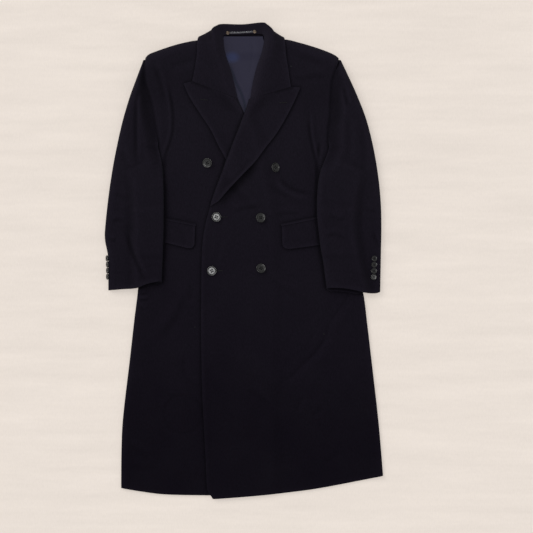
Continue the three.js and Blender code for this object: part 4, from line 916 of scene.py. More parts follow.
def sleeve_panel(half, inner_at, surface, past_cuff=0.0):
    """One of a sleeve's two pieces. Rows run level and bend to the cuff; columns run between the
    two folds and turn over them. The surface gives the outer face's height, and upward or
    downward as plus or minus one, with the share of the inner fold that is turned."""
    way, (step_across, step_up) = half.way, steps()
    places = columns(round(SLEEVE_WIDE / step_across), 1, 1, 7)
    y0 = np.append(np.arange(SLEEVE_FOOT, SLEEVE_END, step_up), SLEEVE_END)[:, None]

    def x_at(y):
        a, b = way * inner_at(y), way * half.outer(y)
        turn = np.minimum(SLEEVE_TURN, (b - a) * 0.4)
        return way * across_at(a, b, places, turn, turn)

    y = np.broadcast_to(y0, (len(y0), places.shape[1]))
    for _ in range(4):
        x = x_at(y)
        past = past_cuff * ease(*half.past_at[:2], x) * (1 - ease(*half.past_at[2:], x))
        foot = half.cuff(x) - past
        y = y0 + (foot - SLEEVE_FOOT) * (1 - ease(SLEEVE_FOOT, 60, y0))
    x, low, high = x_at(y), places[3], places[4]
    z, facing, k = surface(x, y, low, high)
    return thickened(x, y, z, (
        way * (np.cos(low) * k - np.cos(high)), 0, facing * mix(1, np.sin(low), k) * np.sin(high)))


def undersleeve_surface(half):
    """The lower piece: on the ground it lies on, its edges turned up half the sleeve's height."""
    way = half.way

    def inner_at(y):
        below = mix(half.inner(y), half.side(UNDERARM_Y) + 2 * way, ease(190, UNDERARM_Y, y))
        above = half.side(y) + way * mix(2, 0.5, ease(UNDERARM_Y, 250, y))
        return np.where(y < UNDERARM_Y, below, above)

    def surface(x, y, low, high):
        k = 1 - ease(180, 196, y)
        lifted = sleeve_loft(y) / 2 - GAP / 2
        rise = (1 - np.sin(low)) * k + (1 - np.sin(high))
        return sleeve_ground(half, x, y) + lifted * rise, 1, k

    return sleeve_panel(half, inner_at, surface, half.past_cuff)


def topsleeve_surface(half):
    """The upper piece: a crowned run over the sleeve's height, with its folds, that comes down to
    the body's level along the armhole and to half its height at the folded edges."""
    way = half.way

    def inner_at(y):
        return np.where(y < 290, half.inner(y), half.side(y) + way * 0.5)

    def surface(x, y, low, high):
        k = 1 - ease(190, UNDERARM_Y, y)
        thick = sleeve_loft(y)
        inner_x = inner_at(y)
        reach = way * (x - inner_x)
        width = way * (half.outer(y) - inner_x)
        middle = 2 * reach / width - 1
        fine = CREASED * crease_height(SLEEVE_CREASES, x, y) + 0.8 * unevenness(x * 1.2, y)
        folds = np.maximum(-4, fold_height(SLEEVE_FOLDS, x, y)) + fine
        hem = -0.5 * bell((y - half.cuff(x) - 42) / 3.5)
        crown = sleeve_ground(half, x, y, 120, 350) + thick * (1 - 0.16 * middle**2) + folds + hem
        seam_top = chest_top(inner_x, y) + mix(GAP + cloth_mm(), 1.2, ease(292, 312, y))
        near = (1 - ease(2, np.minimum(36, width * 0.8), reach)) * ease(200, 280, y)
        flat = mix(crown, np.minimum(crown, seam_top), near)
        flat = flat - 1.2 * bell(reach / 5) * ease(262, 300, y)
        half_way = sleeve_ground(half, x, y) + thick / 2 + GAP / 2
        inner_rim = mix(np.minimum(flat, seam_top), half_way, k)
        in_drop = (flat - inner_rim) * (1 - np.sin(low))
        out_drop = (flat - half_way) * (1 - np.sin(high))
        return flat - in_drop - out_drop, -1, k

    return sleeve_panel(half, inner_at, surface)


def square_frame(normal):
    """Three unit directions, the last along the normal and the first level in X."""
    w = np.asarray(normal, float) / np.linalg.norm(normal)
    u = np.cross((0, 1, 0), w)
    u /= np.linalg.norm(u)
    return np.stack((u, np.cross(w, u), w))


def circle(sides):
    """Angles of points round a circle."""
    return np.linspace(0, 2 * math.pi, sides, endpoint=False)


def tube(path, radius, sides=10, closed=False):
    """Points, quads and triangles of a round tube carried along a path, its ring square to it. It
    is joined to its start, or ends in a fan of triangles at either end."""
    path = np.asarray(path, float)
    tangent = np.roll(path, -1, 0) - np.roll(path, 1, 0) if closed else np.gradient(path, axis=0)
    tangent /= np.linalg.norm(tangent, axis=1, keepdims=True)
    guide = np.where(np.abs(tangent[:, 2:3]) > 0.9, (1.0, 0.0, 0.0), (0.0, 0.0, 1.0))
    side = np.cross(tangent, guide)
    side /= np.linalg.norm(side, axis=1, keepdims=True)
    up = np.cross(side, tangent)
    turn = circle(sides)[None, :, None]
    radius = np.broadcast_to(np.asarray(radius, float), (len(path),))[:, None, None]
    points = path[:, None] + radius * (np.cos(turn) * side[:, None] + np.sin(turn) * up[:, None])
    points = points.reshape(-1, 3)
    four = quads(len(path), sides, wrap=True)
    ring = np.arange(sides)
    after, last = np.roll(ring, -1), (len(path) - 1) * sides
    if closed:
        return points, np.concatenate((
            four, np.stack((last + ring, last + after, after, ring), axis=1),
        )), np.empty((0, 3), int)
    tips = np.full((2, sides), len(points)) + ((0,), (1,))
    three = np.concatenate((
        np.stack((after, ring, tips[0]), axis=1),
        np.stack((last + ring, last + after, tips[1]), axis=1),
    ))
    return np.concatenate((points, path[:1], path[-1:])), four, three


def solid_object(name, parts, material):
    """A mesh object of several closed parts, each of points, quads and triangles."""
    first = np.cumsum([0] + [len(points) for points, _, _ in parts])
    faces = [(part[k] + n).tolist() for k in (1, 2) for n, part in zip(first, parts)]
    remake(name)
    mesh = bpy.data.meshes.new(name)
    points = np.concatenate([points for points, _, _ in parts])
    mesh.from_pydata((points * MM).tolist(), [], [face for block in faces for face in block])
    return smooth_object(name, mesh, material, 40)


def spun(points, turn):
    """Points turned round Z by an angle."""
    c, s = math.cos(turn), math.sin(turn)
    return points @ np.array(((c, s, 0), (-s, c, 0), (0, 0, 1)))


def button_part(spec, place, normal, turn=0.0, rings=30, sides=64):
    """A turned button as a disc of rings at its place, square to the normal, turned by an angle.
    Its profile runs from the middle of the top over the rim to the middle of the foot, and four
    round holes are sunk through the top."""
    r, thick, rim, dish = spec["across"] / 2, spec["thick"], spec["rim"], spec["dish"]
    hole, spread = spec["hole"], spec["spread"]
    rows = (
        (0, 0.0, thick - dish), (1, (r - rim) * 0.86, thick - dish),
        (2, r - rim, thick - dish * 0.55),
        (3, r - rim * 0.62, thick - 0.08), (4, r - rim * 0.3, thick), (5, r - 0.35, thick * 0.86),
        (6, r, thick * 0.55), (7, r - 0.5, thick * 0.2), (8, r * 0.8, 0.0), (9, 0.0, 0.0),
    )
    along = np.concatenate((np.linspace(0, 2, rings - 12), np.linspace(2, 9, 13)[1:]))[:, None]
    radius, height = np.maximum(track(rows)(along), 0), track(rows, to=2)(along)
    turned = circle(sides)[None, :]
    x, y = radius * np.cos(turned), radius * np.sin(turned)
    away = np.min([
        np.hypot(x - sx * spread, y - sy * spread) for sx in (-1, 1) for sy in (-1, 1)], axis=0)
    sunk = (1 - ease(hole * 0.72, hole * 1.12, away)) * (along < 2.5)
    disc = np.stack((x, y, height - sunk * (height - 0.5)), axis=-1)
    points = spun(disc, turn).reshape(-1, 3) @ square_frame(normal) + place
    return points, quads(*disc.shape[:2], wrap=True), np.empty((0, 3), int)


def thread_parts(spec, place, normal, turn, radius=0.38):
    """Two bars of thread over a button, each a flat arch from hole to hole, and a shank below."""
    basis, spread = square_frame(normal), spec["spread"]
    run = np.linspace(-1, 1, 11)
    height = spec["thick"] - spec["dish"] + 0.35 - 1.4 * run**6
    arches = [
        np.stack((run * spread, 0 * run + (side * spread + lane), height), axis=1)
        for side in (-1, 1) for lane in (-0.35, 0.35)]
    shank = np.stack((0 * run, 0 * run, mix(-0.6, 0.5, (run + 1) / 2)), axis=1)
    parts = [tube(spun(arch, turn) @ basis + place, radius, 6) for arch in arches]
    return parts + [tube(shank @ basis + place, 1.6, 8)]


def socket_node(tree, kind, inputs=None, **settings):
    """Adds a shader node: numbers are set on its sockets, and sockets are linked to them."""
    made = tree.nodes.new(kind)
    for key, value in settings.items():
        setattr(made, key, value)
    for key, value in (inputs or {}).items():
        if isinstance(value, bpy.types.NodeSocket):
            tree.links.new(value, made.inputs[key])
        else:
            made.inputs[key].default_value = value
    return made


def blank_material(name):
    """A material of the name with an empty tree, and its tree."""
    old = bpy.data.materials.get(name)
    if old is not None:
        bpy.data.materials.remove(old)
    material = bpy.data.materials.new(name)
    material.use_nodes = True
    material.node_tree.nodes.clear()
    return material, material.node_tree


def material_of(name, make, *details):
    """The named material, made once."""
    return bpy.data.materials.get(name) or make(*details)


def object_places(tree, scale=(1, 1, 1)):
    """Object coordinates, stretched by a scale."""
    places = socket_node(tree, "ShaderNodeTexCoord").outputs["Object"]
    return socket_node(tree, "ShaderNodeMapping", {"Vector": places, "Scale": scale}).outputs[0]


def noise(tree, scale, detail=2.0, roughness=0.5, stretch=(1, 1, 1)):
    return socket_node(tree, "ShaderNodeTexNoise", {
        "Vector": object_places(tree, stretch), "Scale": scale, "Detail": detail,
        "Roughness": roughness,
    }).outputs["Fac"]


def bands(tree, scale, distortion, detail=2.0):
    """Slanting bands, wavering by a distortion."""
    return socket_node(tree, "ShaderNodeTexWave", {
        "Vector": object_places(tree), "Scale": scale, "Distortion": distortion, "Detail": detail,
    }, wave_type="BANDS", bands_direction="DIAGONAL").outputs["Fac"]


def scaled(tree, a, b, c):
    """A value times a second, plus a third."""
    return socket_node(
        tree, "ShaderNodeMath", {0: a, 1: b, 2: c}, operation="MULTIPLY_ADD").outputs[0]


def passage(tree, value, start, end, to=1.0):
    """How far a value is on the way between two levels, held at both, times the last number."""
    return socket_node(tree, "ShaderNodeMapRange", {
        "Value": value, "From Min": start, "From Max": end, "To Max": to}).outputs[0]


def blend_colours(tree, share, a, b, kind="MIX"):
    return socket_node(
        tree, "ShaderNodeMix", {0: share, 6: a, 7: b}, data_type="RGBA", blend_type=kind).outputs[2]


def painted_light_and_shade(tree):
    """The painted light and shade kept at each point of a laid piece."""
    return socket_node(tree, "ShaderNodeAttribute", attribute_name="shade").outputs["Fac"]


def bump(tree, *layers):
    """Bumps laid over each other: height, depth in metres and strength of each."""
    normal = None
    for height, depth, strength in layers:
        inputs = {"Height": height, "Distance": depth, "Strength": strength}
        if normal is not None:
            inputs["Normal"] = normal
        normal = socket_node(tree, "ShaderNodeBump", inputs).outputs[0]
    return normal


def shaded(material, inputs):
    """The material, its tree ended by a surface with the given inputs."""
    tree = material.node_tree
    surface = socket_node(tree, "ShaderNodeBsdfPrincipled", inputs).outputs[0]
    socket_node(tree, "ShaderNodeOutputMaterial", {"Surface": surface})
    return material


def rgba(colour, gain=1.0):
    return (*(c * gain for c in colour[:3]), 1.0)


def wool():
    """Brushed wool: broad soft changes of tone, a nap combed down the coat, and a sheen. It is
    darker down the skirt, and darker again towards the hem past a ragged line. Its colour is
    multiplied by the painted light and shade kept at each point."""
    colours = bpy.context.scene.coat_colours
    material, tree = blank_material("wool")
    broad = noise(tree, 7.0, 3.0, 0.55)
    nap = noise(tree, 420.0, 3.0, 0.6, (1, 0.35, 1))
    fibre = noise(tree, 1900.0, 2.0, 0.6, (1, 0.5, 1))
    up = socket_node(
        tree, "ShaderNodeSeparateXYZ", {"Vector": object_places(tree)}).outputs["Y"]
    lower = passage(tree, up, 0.25, -0.45)
    ground = blend_colours(tree, lower, rgba(colours.cloth_upper), rgba(colours.cloth_lower))
    toned = blend_colours(
        tree, scaled(tree, broad, 0.55, 0.2), ground, rgba(colours.cloth_worn))
    hem = passage(tree, scaled(tree, noise(tree, 9.0, 3.0, 0.6), 0.34, up), -0.08, -0.2)
    dimmed = scaled(tree, hem, -0.13, scaled(tree, lower, -0.12, 1.0))
    colour = toned
    # The tone kept at each point is painted light and shade, multiplied into the colour.
    for tone in (scaled(tree, nap, 0.9, 0.55), painted_light_and_shade(tree), dimmed):
        colour = blend_colours(tree, 1.0, colour, tone, "MULTIPLY")
    return shaded(material, {
        "Base Color": colour, "Roughness": 0.94, "Specular IOR Level": 0.03, "Sheen Weight": 0.02,
        "Sheen Roughness": 0.55, "Sheen Tint": rgba((0.8, 0.8, 0.95)),
        "Normal": bump(tree, (broad, 0.0012, 0.25), (nap, 0.00045, 0.6), (fibre, 0.00012, 0.6)),
    })


def satin():
    """Lining satin: a twill's fine lines, a bluer painted highlight in a patch, and painted shade
    of darker blue in streaks along the creases.
    """
    colours = bpy.context.scene.coat_colours
    material, tree = blank_material("satin")
    # Painted highlight: a paler, bluer patch on the satin near the neck.
    highlight_place = socket_node(tree, "ShaderNodeMapping", {
        "Vector": object_places(tree), "Location": (0.031, -0.7252, 0), "Scale": (1, 1.4, 0),
    }, vector_type="POINT").outputs[0]
    away = socket_node(tree, "ShaderNodeVectorMath", {0: highlight_place}, operation="LENGTH")
    share = passage(tree, away.outputs["Value"], 0.024, 0.008, 0.7)
    colour = blend_colours(tree, share, rgba(colours.lining), rgba(colours.lining_painted_blue))
    # Painted shade: dark blue streaks where the tone kept is low, along the creases' troughs.
    crease_shade = passage(tree, painted_light_and_shade(tree), 0.9, 0.55, 0.9)
    colour = blend_colours(tree, crease_shade, colour, rgba(colours.lining_painted_blue, 0.22))
    soft, twill = noise(tree, 60.0, 3.0, 0.55), bands(tree, 900.0, 1.2, 1.0)
    return shaded(material, {
        "Base Color": colour, "Roughness": 0.58, "Specular IOR Level": 0.14, "Sheen Weight": 0.02,
        "Sheen Roughness": 0.4, "Anisotropic": 0.3,
        "Normal": bump(tree, (soft, 0.0008, 0.25), (twill, 0.00004, 0.4)),
    })


def horn():
    """Polished dark horn: long paler streaks, a hard shine, and faint turning marks."""
    colours = bpy.context.scene.coat_colours
    material, tree = blank_material("horn")
    streaks = noise(tree, 170.0, 4.0, 0.65, (1, 0.25, 1))
    share = passage(tree, streaks, 0.48, 0.78)
    return shaded(material, {
        "Base Color": blend_colours(tree, share, rgba(colours.horn), rgba(colours.horn_streak)),
        "Roughness": scaled(tree, streaks, 0.18, 0.12), "Specular IOR Level": 0.5,
        "Coat Weight": 0.35, "Coat Roughness": 0.1,
        "Normal": bump(tree, (noise(tree, 900.0), 0.00005, 0.4)),
    })


def metal(name, colour, roughness):
    """Worn metal: a tone and a roughness that change in small spots."""
    material, tree = blank_material(name)
    spots = noise(tree, 620.0, 3.0, 0.6)
    return shaded(material, {
        "Base Color": blend_colours(tree, spots, rgba(colour, 0.6), rgba(colour, 1.25)),
        "Metallic": 1.0, "Roughness": scaled(tree, spots, 0.25, roughness),
        "Normal": bump(tree, (spots, 0.00006, 0.5)),
    })


def twisted(name, colour, roughness=0.7):
    """Twisted thread: fine slanting bands of light and dark."""
    material, tree = blank_material(name)
    twist = bands(tree, 520.0, 2.0)
    return shaded(material, {
        "Base Color": blend_colours(tree, twist, rgba(colour, 0.6), rgba(colour, 1.3)),
        "Roughness": roughness, "Specular IOR Level": 0.12,
        "Normal": bump(tree, (twist, 0.0001, 0.6)),
    })


def dark_thread():
    return material_of("thread", twisted, "thread", bpy.context.scene.coat_colours.thread)


def length(name, description, default, low, high):
    """A property that is a length in metres."""
    return FloatProperty(
        name=name, description=description, default=default, min=low, max=high, unit="LENGTH",
        subtype="DISTANCE")


def tint(name, description, default):
    """A property that is a colour."""
    return FloatVectorProperty(
        name=name, description=description, default=default, size=3, min=0, max=1, subtype="COLOR")


class CoatCloth(bpy.types.PropertyGroup):
    thickness: length("Cloth", "Coat cloth with the layer fused to it", 0.0026, 0.001, 0.005)
    lining_thickness: length(
        "Lining", "Satin of the lining with its turnings", 0.001, 0.0003, 0.002)
    step_across: length("Step across", "Width of a face of the cloth", 0.005, 0.003, 0.04)
    step_up: length("Step up", "Height of a face of the cloth", 0.005, 0.003, 0.04)


class CoatTrims(bpy.types.PropertyGroup):
    front_button: length(
        "Front button", "Width of a front button",
        round((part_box("front_button_1")[1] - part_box("front_button_1")[0]).x, 4), 0.015, 0.035)
    cuff_button: length("Cuff button", "Width of a cuff button", 0.0155, 0.01, 0.02)
    chain_links: IntProperty(
        name="Chain links", description="Links of the hanger chain", default=15, min=6, max=30)
    link_wire: length("Link wire", "Thickness of the wire of a link", 0.001, 0.0004, 0.002)


class CoatColours(bpy.types.PropertyGroup):
    cloth_upper: tint("Upper cloth", "Wool above the waist", (0.0070, 0.0056, 0.0095))
    cloth_lower: tint("Lower cloth", "Wool of the skirt", (0.0027, 0.0014, 0.0045))
    cloth_worn: tint("Worn cloth", "Wool where the nap is lighter", (0.0092, 0.0077, 0.0118))
    lining: tint("Lining", "Lining satin", (0.0165, 0.0152, 0.0335))
    # Blue painted on the satin: the painted highlight in a patch and, dimmed, the painted shade of
    # the streaks.
    lining_painted_blue: tint("Blue of lining", "Satin where it looks bluer", (0.023, 0.032, 0.088))
    horn: tint("Horn", "Buttons", (0.004, 0.0035, 0.006))
    horn_streak: tint("Horn streak", "Paler streaks in the buttons", (0.013, 0.0115, 0.014))
    thread: tint("Thread", "Button thread and buttonholes", (0.0115, 0.0110, 0.0130))
    chain: tint("Chain", "Steel of the hanger chain", (0.34, 0.34, 0.36))
    plate: tint("Plate", "Bronze of the chain's plates", (0.36, 0.28, 0.21))


class CoatStage(bpy.types.PropertyGroup):
    floor: tint("Floor", "The pale floor", (0.83, 0.75, 0.682))
    camera_height: length("Camera height", "Height of the camera over the coat", 9.0, 1, 12)
    view_width: length("View width", "Width of the picture at the floor", 1.359, 0.5, 4)
    light: FloatProperty(
        name="Light", description="Strength of the main light", default=0.95, min=0, max=10)


def steps():
    """Width and height of a face of the cloth."""
    cloth = bpy.context.scene.coat_cloth
    return cloth.step_across / MM, cloth.step_up / MM


class COAT_OT_back(bpy.types.Operator):
    """Back panel: one cut, under everything"""

    bl_idname = "coat.back"
    bl_label = "Back"

    def execute(self, context):
        across, up = steps()
        turns = (SIDE_TURN_UNDER, SIDE_TURN_UNDER, SHOULDER_TURN_UNDER)
        faces = body_panel(
            (RIGHT.side, LEFT.side), turns, back_hem, back_shoulder, across * 1.6, up * 2,
            back_surface)
        lay_cloth("back", faces, top=faces[1])
        return {"FINISHED"}


class COAT_OT_lining(bpy.types.Operator):
    """Back lining: the satin that shows in the neck"""

    bl_idname = "coat.lining"
    bl_label = "Lining"

    def execute(self, context):
        name, (low, high) = "lining_satin", LINING_ENDS
        share = np.linspace(-1, 1, 70)[None, :]
        y = np.linspace(low, high, 96)[:, None] + 0 * share
        x = share * mix(*LINING_HALF_WIDTHS, ease(500, high, y)) - 2
        creased = crease_height(LINING_CREASES, x, y)
        level = cloth_mm() + neck_lift(x, y) + GAP + lining_mm() + np.maximum(0, creased + 0.9)
        outer = np.stack((x, y, level), axis=-1)
        outer, inner = settle(outer, outer - (0, 0, lining_mm()), name)
        # The tone kept is painted shade along the creases, which the satin turns into dark blue
        # streaks.
        made = wall(name, outer, inner, material_of("satin", satin), 1 + 0.55 * creased)
        PILE.lay(name, outer)
        fit_to_frame(made, "back_lining")
        return {"FINISHED"}


def lay_front(half):
    """Lays one front and the lapel that is turned out of it."""

    def inner_edge(y):
        return half.edge(y) + half.way * roll_setback(y)

    edges, turns = (inner_edge, half.side), (0.0, SIDE_TURN_OVER)
    if half is RIGHT:
        edges, turns = edges[::-1], turns[::-1]
    front, lapel = f"front_{half.name}", f"lapel_{half.name}"
    faces = body_panel(
        edges, (*turns, SHOULDER_TURN_OVER), half.hem, half.shoulder, *steps(),
        front_surface(half))
    outer, inner = settle(*faces, f"{front}_cloth")
    shade = 1 + crease_height(SHADOWS[half.name], outer[..., 0], outer[..., 1])
    lay_cloth(front, (outer, inner), shade=shade)
    faces, shade = lapel_surface(half, 90, 44)
    lay_cloth(lapel, settle(*faces, f"{lapel}_cloth"), shade)


class COAT_OT_front_right(bpy.types.Operator):
    """Wearer's right front, which lies under, and its lapel"""

    bl_idname = "coat.front_right"
    bl_label = "Right front"

    def execute(self, context):
        lay_front(RIGHT)
        return {"FINISHED"}


class COAT_OT_front_left(bpy.types.Operator):
    """Wearer's left front, which laps over, and its lapel"""

    bl_idname = "coat.front_left"
    bl_label = "Left front"

    def execute(self, context):
        lay_front(LEFT)
        return {"FINISHED"}


class COAT_OT_collar(bpy.types.Operator):
    """Collar: stand and fall in one piece, round the neck"""

    bl_idname = "coat.collar"
    bl_label = "Collar"

    def execute(self, context):
        outer, inner, shade, rests = collar_surface(190, 14, 34)
        faces = settle(outer, inner, "collar_cloth", rests, but=LAPELS)
        lay_cloth("collar", faces, shade)
        return {"FINISHED"}


class COAT_OT_pockets(bpy.types.Operator):
    """Hip pocket flaps and the jettings above them"""

    bl_idname = "coat.pockets"
    bl_label = "Pockets"

    def execute(self, context):
        for side, spec in FLAPS.items():
            front, flap, jetting = f"front_{side}_cloth", f"flap_{side}", f"jetting_{side}"
            lay_cloth(flap, settle(*flap_surface(spec, 60, 30), f"{flap}_cloth"))
            lay_cloth(jetting, settle(*jetting_surface(spec, 60, 7), f"{jetting}_cloth"))
        return {"FINISHED"}


class COAT_OT_sleeves(bpy.types.Operator):
    """Both sleeves, each of an undersleeve and a topsleeve"""

    bl_idname = "coat.sleeves"
    bl_label = "Sleeves"

    def execute(self, context):
        for half in (RIGHT, LEFT):
            under, over = f"undersleeve_{half.name}", f"topsleeve_{half.name}"
            outer, inner = undersleeve_surface(half)
            inner, outer = settle(inner, outer, f"{under}_cloth", outer[..., 1] < 240)
            lay_cloth(under, (outer, inner), top=inner)
            outer, inner = topsleeve_surface(half)
            faces = settle(outer, inner, f"{over}_cloth", outer[..., 1] < 300)
            lay_cloth(over, faces)
        return {"FINISHED"}


def button_spec(across, sizes):
    """Sizes of a button whose four holes are a fixed share of its width."""
    return {
        "across": across, "hole": across * HOLE_SHARE, "spread": across * SPREAD_SHARE, **sizes}


def place_button(node, spec, place, normal, turn):
    """Makes a button and its thread in the place of its CAD node."""
    disc = button_part(spec, place, normal, turn)
    made = solid_object(f"{node}_horn", [disc], material_of("horn", horn))
    fit_to_frame(made, node)
    sewn = solid_object(f"{node}_thread", thread_parts(spec, place, normal, turn), dark_thread())
    fit_to_frame(sewn)


def node_box(node):
    """A CAD node's lowest and highest corner, and its middle, in millimetres."""
    low, high = (np.array(corner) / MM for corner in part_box(node))
    return low, high, (low + high) / 2


def pile_slope(place, reach, axis):
    """How much the pile rises along an axis, over a place, for each millimetre."""
    step = reach * np.eye(2)[axis]
    ahead, behind = (PILE.top(*(place[:2] + way * step)) for way in (1, -1))
    return float(ahead - behind) / (2 * reach)


class COAT_OT_front_buttons(bpy.types.Operator):
    """Six horn buttons in two columns, sewn with thread through four holes"""

    bl_idname = "coat.front_buttons"
    bl_label = "Front buttons"

    def execute(self, context):
        spec = button_spec(context.scene.coat_trims.front_button / MM, FRONT_BUTTON)
        half, angle = spec["across"] / 2, circle(24)
        for n, (lean_x, lean_y, turned) in BUTTON_LIES.items():
            x, y, _ = node_box(f"front_button_{n}")[2]
            around = PILE.top(x + half * np.cos(angle), y + half * np.sin(angle))
            normal = (math.tan(math.radians(lean_x)), math.tan(math.radians(lean_y)), 1)
            rise = half * math.sin(math.radians(math.hypot(lean_x, lean_y)))
            place = np.array((x, y, around.max() + 2 * GAP + rise * 0.6))
            place_button(f"front_button_{n}", spec, place, normal, math.radians(turned))
        return {"FINISHED"}


class COAT_OT_cuff_buttons(bpy.types.Operator):
    """Four small horn buttons at each cuff"""

    bl_idname = "coat.cuff_buttons"
    bl_label = "Cuff buttons"

    def execute(self, context):
        spec = button_spec(context.scene.coat_trims.cuff_button / MM, CUFF_BUTTON)
        reach, tilt = spec["across"] / 2, math.radians(CUFF_TILT)
        for n, lean in enumerate(CUFF_LEANS, 1):
            node = f"cuff_button_left_{n}"
            place = node_box(node)[2]
            slopes = [pile_slope(place, reach, axis) for axis in (0, 1)]
            place[2] = float(PILE.top(*place[:2])) + 1.2
            normal = (lean - slopes[0], lean / 2 - slopes[1], 1)
            place_button(node, spec, place, normal, math.radians(20 + 25 * n))
            node = f"cuff_button_right_{n}"
            normal = np.array((-math.cos(tilt), 0, math.sin(tilt)))
            place = node_box(node)[2] - normal * spec["thick"] / 2
            place_button(node, spec, place, normal, math.radians(35 * n))
        return {"FINISHED"}


class COAT_OT_buttonholes(bpy.types.Operator):
    """Worked buttonholes: a raised bar of thread on each side of a slit"""

    bl_idname = "coat.buttonholes"
    bl_label = "Buttonholes"

    def execute(self, context):
        run = np.linspace(-1, 1, 64)
        for name, x, y, length_mm, slant in BUTTONHOLES:
            parts = []
            for side in (-1, 1):
                px = x + run * length_mm / 2
                py = y + slant * run * length_mm / 2 + side * 0.75 * np.sqrt(1 - 0.999 * run**2)
                pz = smoothed(PILE.top(px, py)[None, :], 6)[0] + 0.45
                radius = 0.55 + 0.12 * np.sin(run * length_mm * 2.4)
                parts.append(tube(np.stack((px, py, pz), axis=1), radius, 8))
            fit_to_frame(solid_object(name, parts, dark_thread()))
        return {"FINISHED"}


class COAT_OT_hanger(bpy.types.Operator):
    """Hanger chain and its two plates, inside the collar stand"""

    bl_idname = "coat.hanger"
    bl_label = "Hanger chain"

    def execute(self, context):
        trims, colours = context.scene.coat_trims, context.scene.coat_colours
        steel = material_of("steel", metal, "steel", colours.chain, 0.28)
        bronze = material_of("bronze", metal, "bronze", colours.plate, 0.34)
        levels = []
        for side in ("right", "left"):
            node = f"hanger_plate_{side}"
            middle = node_box(node)[2]
            levels.append(middle[1])
            normal = (0, -pile_slope(middle, 4.0, 1), 1)
            disc = button_part(PLATE, middle, normal)
            fit_to_frame(solid_object(f"{node}_bronze", [disc], bronze), node)
        low, high, _ = node_box("hanger_chain")
        pitch = (high[0] - low[0]) / trims.chain_links
        turn = circle(16)
        parts = []
        for n in range(trims.chain_links):
            share = (n + 0.5) / trims.chain_links
            x = mix(low[0], high[0], share)
            y = mix(*levels, share) - 0.8 * math.sin(share * math.pi)
            z = float(PILE.top(x, y)) + 1.9
            lean = math.radians(28 if n % 2 else -28)
            ring = np.stack((
                x + 0.78 * pitch * np.cos(turn),
                y + 1.55 * np.sin(turn) * math.cos(lean),
                z + 1.55 * np.sin(turn) * math.sin(lean),
            ), axis=1)
            parts.append(tube(ring, trims.link_wire / MM / 2, 8, closed=True))
        fit_to_frame(solid_object("hanger_chain_steel", parts, steel), "hanger_chain")
        return {"FINISHED"}


class COAT_OT_lint(bpy.types.Operator):
    """Specks of pale lint caught on the nap"""

    bl_idname = "coat.lint"
    bl_label = "Lint"

    def execute(self, context):
        pale = material_of("lint", twisted, "lint", (0.024, 0.024, 0.026), 0.9)
        run = np.linspace(-1, 1, 9)
        parts = []
        for n, (x, y, length_mm) in enumerate(LINT):
            for hair in range(4):
                way = 2.4 * n + 0.9 * hair
                bend = 0.45 * (1 - run**2) * (1 if hair % 2 else -1)
                px = x + length_mm / 2 * (run * math.cos(way) - bend * math.sin(way))
                py = y + length_mm / 2 * (run * math.sin(way) + bend * math.cos(way))
                pz = PILE.top(px, py).max() + 0.35 + 0.15 * hair + 0 * px
                parts.append(tube(np.stack((px, py, pz), axis=1), 0.3, 5))
        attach(solid_object("lint", parts, pale), "root")
        return {"FINISHED"}


class COAT_OT_hollows(bpy.types.Operator):
    """Painted shade on the nap in hollows and beside higher cloth, and painted light on ridges"""

    bl_idname = "coat.hollows"
    bl_label = "Hollows"

    def execute(self, context):
        top = np.maximum(0, np.max(list(PILE.layers.values()), axis=0))
        around = [(blurred(top, reach), *rest) for reach, *rest in HOLLOWS]
        for made in bpy.data.objects:
            if made.type != "MESH" or made.name == "lining_satin":
                continue
            attribute = made.data.attributes.get("shade")
            if not attribute:
                continue
            points = np.empty(len(made.data.vertices) * 3, np.float32)
            made.data.vertices.foreach_get("co", points)
            x, y, z = points.reshape(-1, 3).T / MM
            shade = np.empty(len(x), np.float32)
            attribute.data.foreach_get("value", shade)
            stood = shade > STAND_SHADE
            for raster, high, low, deep in around:
                hollow = (PILE.between(raster, x, y) - z) / high
                shade = shade * (1 - deep * np.clip(hollow, low, 1) * ~stood)
            attribute.data.foreach_set("value", shade.astype(np.float32))
        return {"FINISHED"}


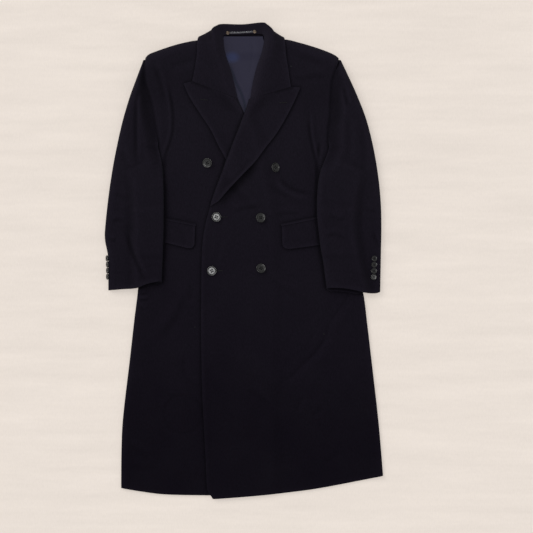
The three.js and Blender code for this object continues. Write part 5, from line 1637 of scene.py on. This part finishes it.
class COAT_OT_stage(bpy.types.Operator):
    """Pale floor, soft light and the camera straight above"""

    bl_idname = "coat.stage"
    bl_label = "Stage"

    def execute(self, context):
        scene, stage = context.scene, context.scene.coat_stage
        material, tree = blank_material("floor")
        weft = noise(tree, 26.0, 4.0, 0.6, (0.12, 1, 1))
        warp = noise(tree, 380.0, 2.0, 0.5, (1, 0.3, 1))
        share = scaled(tree, warp, 0.35, scaled(tree, weft, 0.65, 0.0))
        tone = blend_colours(tree, share, rgba(stage.floor, 0.42), rgba(stage.floor, 0.7))
        shaded(material, {
            "Base Color": tone, "Roughness": 0.9, "Specular IOR Level": 0.2,
            "Emission Color": rgba(stage.floor), "Emission Strength": 0.42,
        })
        corners = ((-1, -1), (1, -1), (1, 1), (-1, 1))
        places = [(a * FLOOR_HALF, b * FLOOR_HALF, FLOOR_Z) for a, b in corners]
        mesh_object("floor", places, ((0, 1, 2, 3),), material)
        for name, place, spread, share in LAMPS:
            remake(name)
            lamp = bpy.data.lights.new(name, "SUN")
            lamp.angle, lamp.energy = spread, stage.light * share
            made = bpy.data.objects.new(name, lamp)
            made.location = place
            aim = np.array(LAMPS_AIM) - np.array(place)
            made.rotation_euler = (
                math.acos(-aim[2] / np.linalg.norm(aim)), 0, math.atan2(-aim[0], aim[1]))
            scene.collection.objects.link(made)
        world = bpy.data.worlds.new("studio")
        world.use_nodes = True
        sky = world.node_tree.nodes["Background"].inputs
        sky["Color"].default_value = (1, 1, 1, 1)
        sky["Strength"].default_value = WORLD_LIGHT
        scene.world = world
        scene.view_settings.view_transform = "Standard"
        remake("camera")
        lens = bpy.data.cameras.new("camera")
        lens.sensor_width = SENSOR
        lens.lens = SENSOR * stage.camera_height / stage.view_width
        camera = bpy.data.objects.new("camera", lens)
        camera.location = (CAMERA_X, CAMERA_Y, stage.camera_height)
        scene.collection.objects.link(camera)
        scene.camera = camera
        return {"FINISHED"}


OPERATORS = (
    COAT_OT_stage, COAT_OT_back, COAT_OT_lining, COAT_OT_front_right, COAT_OT_front_left,
    COAT_OT_collar, COAT_OT_pockets, COAT_OT_sleeves, COAT_OT_front_buttons, COAT_OT_cuff_buttons,
    COAT_OT_buttonholes, COAT_OT_hanger, COAT_OT_lint, COAT_OT_hollows,
)
GROUPS = {
    "coat_cloth": CoatCloth, "coat_trims": CoatTrims, "coat_colours": CoatColours,
    "coat_stage": CoatStage,
}


class COAT_PT_panel(bpy.types.Panel):
    """Sizes, colours and pieces of the coat"""

    bl_label = "Laid coat"
    bl_idname = "COAT_PT_panel"
    bl_space_type = "VIEW_3D"
    bl_region_type = "UI"
    bl_category = "Coat"

    def draw(self, context):
        for attribute, group in GROUPS.items():
            box = self.layout.box()
            for name in group.__annotations__:
                box.prop(getattr(context.scene, attribute), name)
        for operator in OPERATORS:
            self.layout.operator(operator.bl_idname)


def register():
    for group in GROUPS.values():
        bpy.utils.register_class(group)
    for attribute, group in GROUPS.items():
        setattr(bpy.types.Scene, attribute, PointerProperty(type=group))
    for cls in (*OPERATORS, COAT_PT_panel):
        bpy.utils.register_class(cls)


def unregister():
    for cls in reversed((*OPERATORS, COAT_PT_panel)):
        bpy.utils.unregister_class(cls)
    for attribute, group in reversed(GROUPS.items()):
        delattr(bpy.types.Scene, attribute)
        bpy.utils.unregister_class(group)


def main():
    register()
    for operator in OPERATORS:
        group, name = operator.bl_idname.split(".")
        getattr(getattr(bpy.ops, group), name)()


if __name__ == "__main__":
    main()
